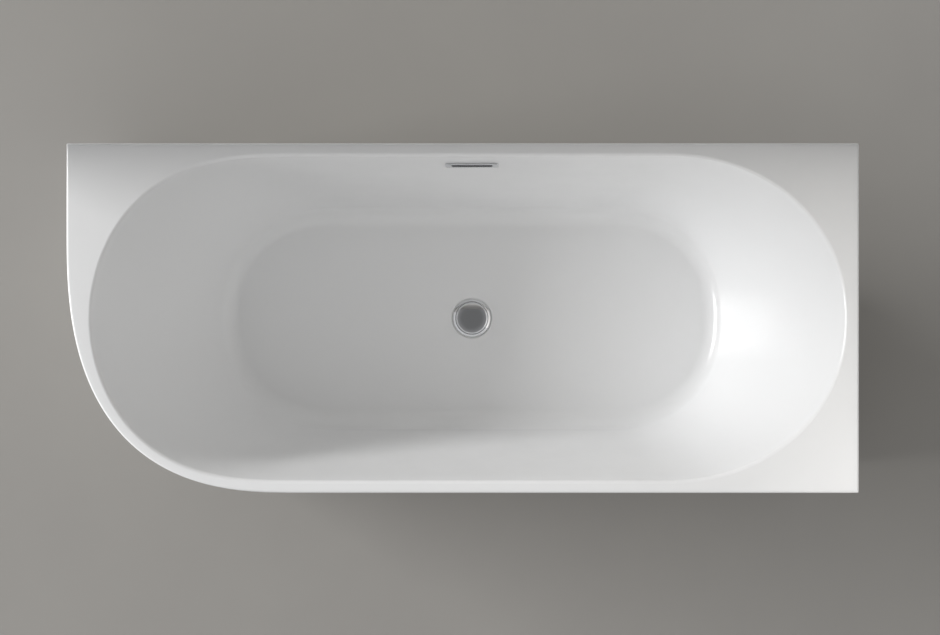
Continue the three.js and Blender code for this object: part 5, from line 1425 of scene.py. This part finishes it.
def waste_body():
    top = RECESS_UNDERSIDE - GASKET_THICKNESS - 2 * SEAT_GAP
    bottom, flange_bottom = top - BODY_LENGTH, top - BODY_FLANGE_THICKNESS
    tube_bore, tail_bore = BODY_RADIUS - BODY_WALL, BODY_TAIL_RADIUS - BODY_WALL
    throat, tail_top = TAIL_RADIUS + 2 * SEAT_GAP, bottom + BODY_TAIL_LENGTH
    shell = lathe([
        (tail_bore, bottom), (BODY_TAIL_RADIUS, bottom), (BODY_TAIL_RADIUS, tail_top),
        (BODY_RADIUS, tail_top + BODY_WALL), (BODY_RADIUS, flange_bottom), (BODY_FLANGE_RADIUS, flange_bottom),
        (BODY_FLANGE_RADIUS, top), (throat, top), (throat, flange_bottom), (tube_bore, flange_bottom - BODY_WALL),
        (tube_bore, tail_top + 2 * BODY_WALL), (tail_bore, tail_top)], PLASTIC_ROUND)
    root, tip = BODY_RADIUS - RIB_BURIED, BODY_FLANGE_RADIUS - RIB_SETBACK
    gusset = slab([(root, flange_bottom - GUSSET_HEIGHT), (tip, flange_bottom), (tip, flange_bottom + RIB_BURIED),
                   (root, flange_bottom + RIB_BURIED)], GUSSET_WIDTH)
    spigot = side_spigot(SPIGOT_RADIUS, SPIGOT_BORE, tube_bore, BODY_RADIUS + SPIGOT_LENGTH, SPIGOT_HEIGHT)
    return joined(shell, spigot, *spun(gusset, GUSSETS, 0.5))


def trap_nut():
    """A union nut with round finger wings."""
    wings, sides = [], 8 * TRAP_NUT_WINGS
    for i, (c, s) in enumerate(circle(1, sides)):
        swell = max(0.0, math.cos(2 * math.pi * i / 8)) ** 2
        radius = TRAP_NUT_RADIUS * (math.cos(math.pi / TRAP_NUT_WINGS) - WING_SHARE + WING_SHARE * swell)
        wings.append((radius * c, radius * s))
    bottom = TRAP_TOP + SEAT_GAP
    return washer(wings, circle(TRAP_MOUTH, sides), bottom, bottom + TRAP_NUT_HEIGHT, TRAP_NUT_BEVEL)


def trap_body():
    wide, wall = TRAP_RADIUS - TRAP_WALL, TRAP_WALL
    cup = lathe([
        (0, TRAP_BASE), (wide, TRAP_BASE), (TRAP_RADIUS, TRAP_BASE + wall), (TRAP_RADIUS, TRAP_TOP - wall),
        (wide, TRAP_TOP), (TRAP_MOUTH, TRAP_TOP), (TRAP_MOUTH, TRAP_TOP - wall), (wide, TRAP_TOP - wall),
        (wide, TRAP_BASE + wall), (0, TRAP_BASE + wall)], TRAP_ROUND)
    outlet = side_spigot(OUTLET_SPIGOT_RADIUS - OUTLET_SPIGOT_PLAY, OUTLET_SPIGOT_BORE, TRAP_RADIUS - 1.5 * wall,
                         TRAP_RADIUS + OUTLET_SPIGOT_LENGTH, OUTLET_HEIGHT)
    return joined(cup, outlet)


def make_drainage():
    gasket_top = RECESS_UNDERSIDE - SEAT_GAP
    gasket = collar(DRAIN_HOLE_RADIUS, BODY_FLANGE_RADIUS, gasket_top - GASKET_THICKNESS, gasket_top, PLASTIC_ROUND)
    for node, slot_name, body in (
            ("drain_gasket", "rubber", gasket), ("waste_body", "white_plastic", waste_body()),
            ("trap_nut", "white_plastic", trap_nut()), ("trap_body", "white_plastic", trap_body())):
        fit(node, slot_name, shifted(body, DRAIN_X))

    start, bore = TRAP_RADIUS + OUTLET_SPIGOT_LENGTH / 2, OUTLET_SPIGOT_RADIUS + SEAT_GAP
    pipe = collar(bore, OUTLET_RADIUS, 0, HALF_WIDTH - OUTLET_PIPE_FROM_WALL - start)
    fit("outlet_pipe", "white_plastic", placed(pipe, stand((DRAIN_X, start, OUTLET_HEIGHT), ALONG_Y)))
    half, core, mouth = OUTLET_NUT_LENGTH / 2, OUTLET_NUT_RADIUS - RIB_SETBACK, OUTLET_RADIUS + SEAT_GAP
    nut = lathe([(bore, 0), (core, 0), (core, 2 * half), (mouth, 2 * half), (mouth, half - SEAT_GAP),
                 (bore, half - SEAT_GAP)], OUTLET_NUT_ROUND)
    rib = box(*OUTLET_RIB_SIZE, 2 * (half - RIB_SETBACK), PLASTIC_ROUND)
    ribs = spun(shifted(rib, OUTLET_NUT_RADIUS - OUTLET_RIB_INSET, 0, half), OUTLET_NUT_RIBS)
    fit("outlet_nut", "white_plastic",
        placed(joined(nut, *ribs), stand((DRAIN_X, start - half, OUTLET_HEIGHT), ALONG_Y)))


# Overflow

def bordered(outer, inner, low, high, bevel=EDGE_ROUND):
    """A plate between two outlines, with its upper and outer edges bevelled."""
    def shrunk(outline, amount):
        return [tuple(c - math.copysign(min(amount, abs(c)), c) for c in corner) for corner in outline]

    return stack([(inner, low), (shrunk(outer, bevel), low), (outer, low + bevel), (outer, high - bevel),
                  (shrunk(outer, bevel / 3), high - bevel / 3), (shrunk(outer, bevel), high),
                  (shrunk(inner, -bevel / 2), high), (inner, high - bevel / 2)], True)


def make_overflow():
    """Dresses the overflow in the basin's back wall, and gives the lower end of its spigot."""
    slot = rounded_rectangle(COVER_SLOT_WIDTH, COVER_SLOT_HEIGHT, COVER_SLOT_CORNER)
    plate = bordered(rounded_rectangle(COVER_WIDTH, COVER_HEIGHT, COVER_CORNER), slot,
                     SEAT_GAP, SEAT_GAP + COVER_THICKNESS, PLASTIC_ROUND)
    neck = bordered(rounded_rectangle(NECK_WIDTH, NECK_HEIGHT, COVER_CORNER / 2), slot,
                    CHAMBER_FRONT + SEAT_GAP - SHELL_WALL / 2, SEAT_GAP + COVER_THICKNESS / 2)
    fit("overflow_cover", "chrome", placed(joined(plate, neck), OVERFLOW_FRAME))
    mouth = rounded_rectangle(*THROAT, COVER_CORNER / 2)
    gasket = bordered(rounded_rectangle(*(size + 2 * OVERFLOW_GASKET_BORDER for size in THROAT), COVER_CORNER),
                      mouth, WALL_BACK - OVERFLOW_GASKET_THICKNESS, WALL_BACK)
    fit("overflow_gasket", "rubber", placed(gasket, OVERFLOW_FRAME))

    back, case = CHAMBER_FRONT - CHAMBER_DEPTH, rounded_rectangle(CHAMBER_WIDTH, CHAMBER_HEIGHT, COVER_CORNER)
    chamber = stack([(mouth, back + CHAMBER_WALL), (mouth, CHAMBER_FRONT), (case, CHAMBER_FRONT),
                     (case, back + 3 * CHAMBER_BEVEL),
                     (scaled(case, 0.99, 0.97), back + CHAMBER_BEVEL), (scaled(case, 0.97, 0.92), back)])
    foot = OVERFLOW_FRAME @ Vector((0, 0, CHAMBER_FRONT - CHAMBER_DEPTH / 2))
    top = foot.z - CHAMBER_HEIGHT / 2 + CHAMBER_WALL
    end = foot.z - CHAMBER_HEIGHT / 2 - CHAMBER_SPIGOT_LENGTH
    spigot = lathe([(SPIGOT_BORE, end), (SPIGOT_RADIUS, end), (SPIGOT_RADIUS + BARB_RISE, end + BARB_LENGTH),
                    (SPIGOT_RADIUS, end + BARB_NECK), (SPIGOT_RADIUS, top), (SPIGOT_BORE, top)],
                   EDGE_ROUND, SMALL_STEPS)
    fit("overflow_chamber", "white_plastic", joined(placed(chamber, OVERFLOW_FRAME), shifted(spigot, foot.x, foot.y)))
    return Vector((foot.x, foot.y, end))


# Hose

class HoseRoute:
    """Down from the chamber, round one wide bend and onto the waste body."""

    def __init__(self, top):
        self.start = top + Vector((0, 0, HOSE_LAP))
        self.down = self.start.z - SPIGOT_HEIGHT - HOSE_BEND_RADIUS
        self.arc = HOSE_BEND_RADIUS * math.pi / 2
        end_y = BODY_RADIUS + SPIGOT_LENGTH - HOSE_LAP
        self.length = self.down + self.arc + self.start.y - HOSE_BEND_RADIUS - end_y

    def at(self, distance):
        if distance <= self.down:
            return 0.0, self.start - Vector((0, 0, distance))
        turn = min((distance - self.down) / HOSE_BEND_RADIUS, math.pi / 2)
        along = max(distance - self.down - self.arc, 0)
        y = self.start.y - HOSE_BEND_RADIUS * (1 - math.cos(turn)) - along
        return turn, Vector((self.start.x, y, SPIGOT_HEIGHT + HOSE_BEND_RADIUS * (1 - math.sin(turn))))

    def ring(self, distance, radius):
        turn, place = self.at(distance)
        across = Vector((0, math.cos(turn), -math.sin(turn)))
        return [place + radius * (c * Vector((1, 0, 0)) + s * across) for c, s in circle(1, HOSE_SIDES)]


def make_hose(top):
    route, cuff = HoseRoute(top), 2 * HOSE_RADIUS
    pitch = (route.length - 2 * cuff) / HOSE_RIBS
    middle, swing = (HOSE_RADIUS + HOSE_ROOT_RADIUS) / 2, (HOSE_RADIUS - HOSE_ROOT_RADIUS) / 2
    bevel = SOFT_ROUND
    outer = [route.ring(0, HOSE_RADIUS - bevel), route.ring(bevel, HOSE_RADIUS)]
    bore = [route.ring(0, HOSE_BORE)]
    for i in range(HOSE_RIBS * HOSE_STEPS_PER_RIB + 1):
        distance = cuff + pitch * i / HOSE_STEPS_PER_RIB
        wave = math.cos(2 * math.pi * i / HOSE_STEPS_PER_RIB)
        outer.append(route.ring(distance, middle + swing * math.copysign(abs(wave) ** RIB_FULLNESS, wave)))
        if i % HOSE_STEPS_PER_RIB == 0:
            bore.append(route.ring(distance, HOSE_BORE))
    outer += [route.ring(route.length - bevel, HOSE_RADIUS), route.ring(route.length, HOSE_RADIUS - bevel)]
    bore.append(route.ring(route.length, HOSE_BORE))
    fit("overflow_hose", "dark_plastic", skin(outer + bore[::-1], True), sharp_degrees=60)
    for place, distance in (("upper", CLIP_LENGTH), ("lower", route.length - CLIP_LENGTH)):
        turn, spot = route.at(distance)
        lie = Matrix.Translation(spot) @ Matrix.Rotation(turn, 4, "X")
        fit(f"hose_clip_{place}", "zinc_steel", placed(worm_clip(), lie), f"clip_{place}")


def worm_clip():
    """A slotted steel band with its worm screw, round the upright axis."""
    inner, outer = HOSE_RADIUS + SEAT_GAP, HOSE_RADIUS + SEAT_GAP + CLIP_BAND
    band = collar(inner, outer, -CLIP_LENGTH / 2, CLIP_LENGTH / 2, THIN_ROUND, 64)
    slot = placed(box(*CLIP_SLOT, THIN_ROUND / 2), Matrix.Rotation(CLIP_SLOT_LEAN, 4, "X"))
    slots = [placed(shifted(slot, outer), Matrix.Rotation(CLIP_FIRST_SLOT + CLIP_SLOT_STEP * i, 4, "Z"))
             for i in range(CLIP_SLOTS)]
    housing = shifted(box(2 * (CLIP_RADIUS - outer), CLIP_HOUSING, 0.9 * CLIP_LENGTH, SOFT_ROUND), outer)
    barrel = placed(collar(0, CLIP_SCREW_RADIUS, -CLIP_SCREW_HALF, CLIP_SCREW_HALF, THIN_ROUND, 24),
                    stand((0, 0, 0), ALONG_Y))
    return joined(band, housing, shifted(barrel, outer), *slots)


def main():
    make_camera()
    make_stage()
    make_world()
    bpy.context.scene.view_settings.view_transform = "Standard"
    make_finishes()
    make_shell()
    skirt = make_skirt()
    make_key_light("key", KEY_POWER, skirt, "EXCLUDE")
    make_key_light("key_skirt", KEY_SKIRT_POWER, skirt, "INCLUDE")
    make_boards()
    make_frame()
    make_feet()
    make_brackets()
    make_waste()
    make_drainage()
    make_hose(make_overflow())


main()
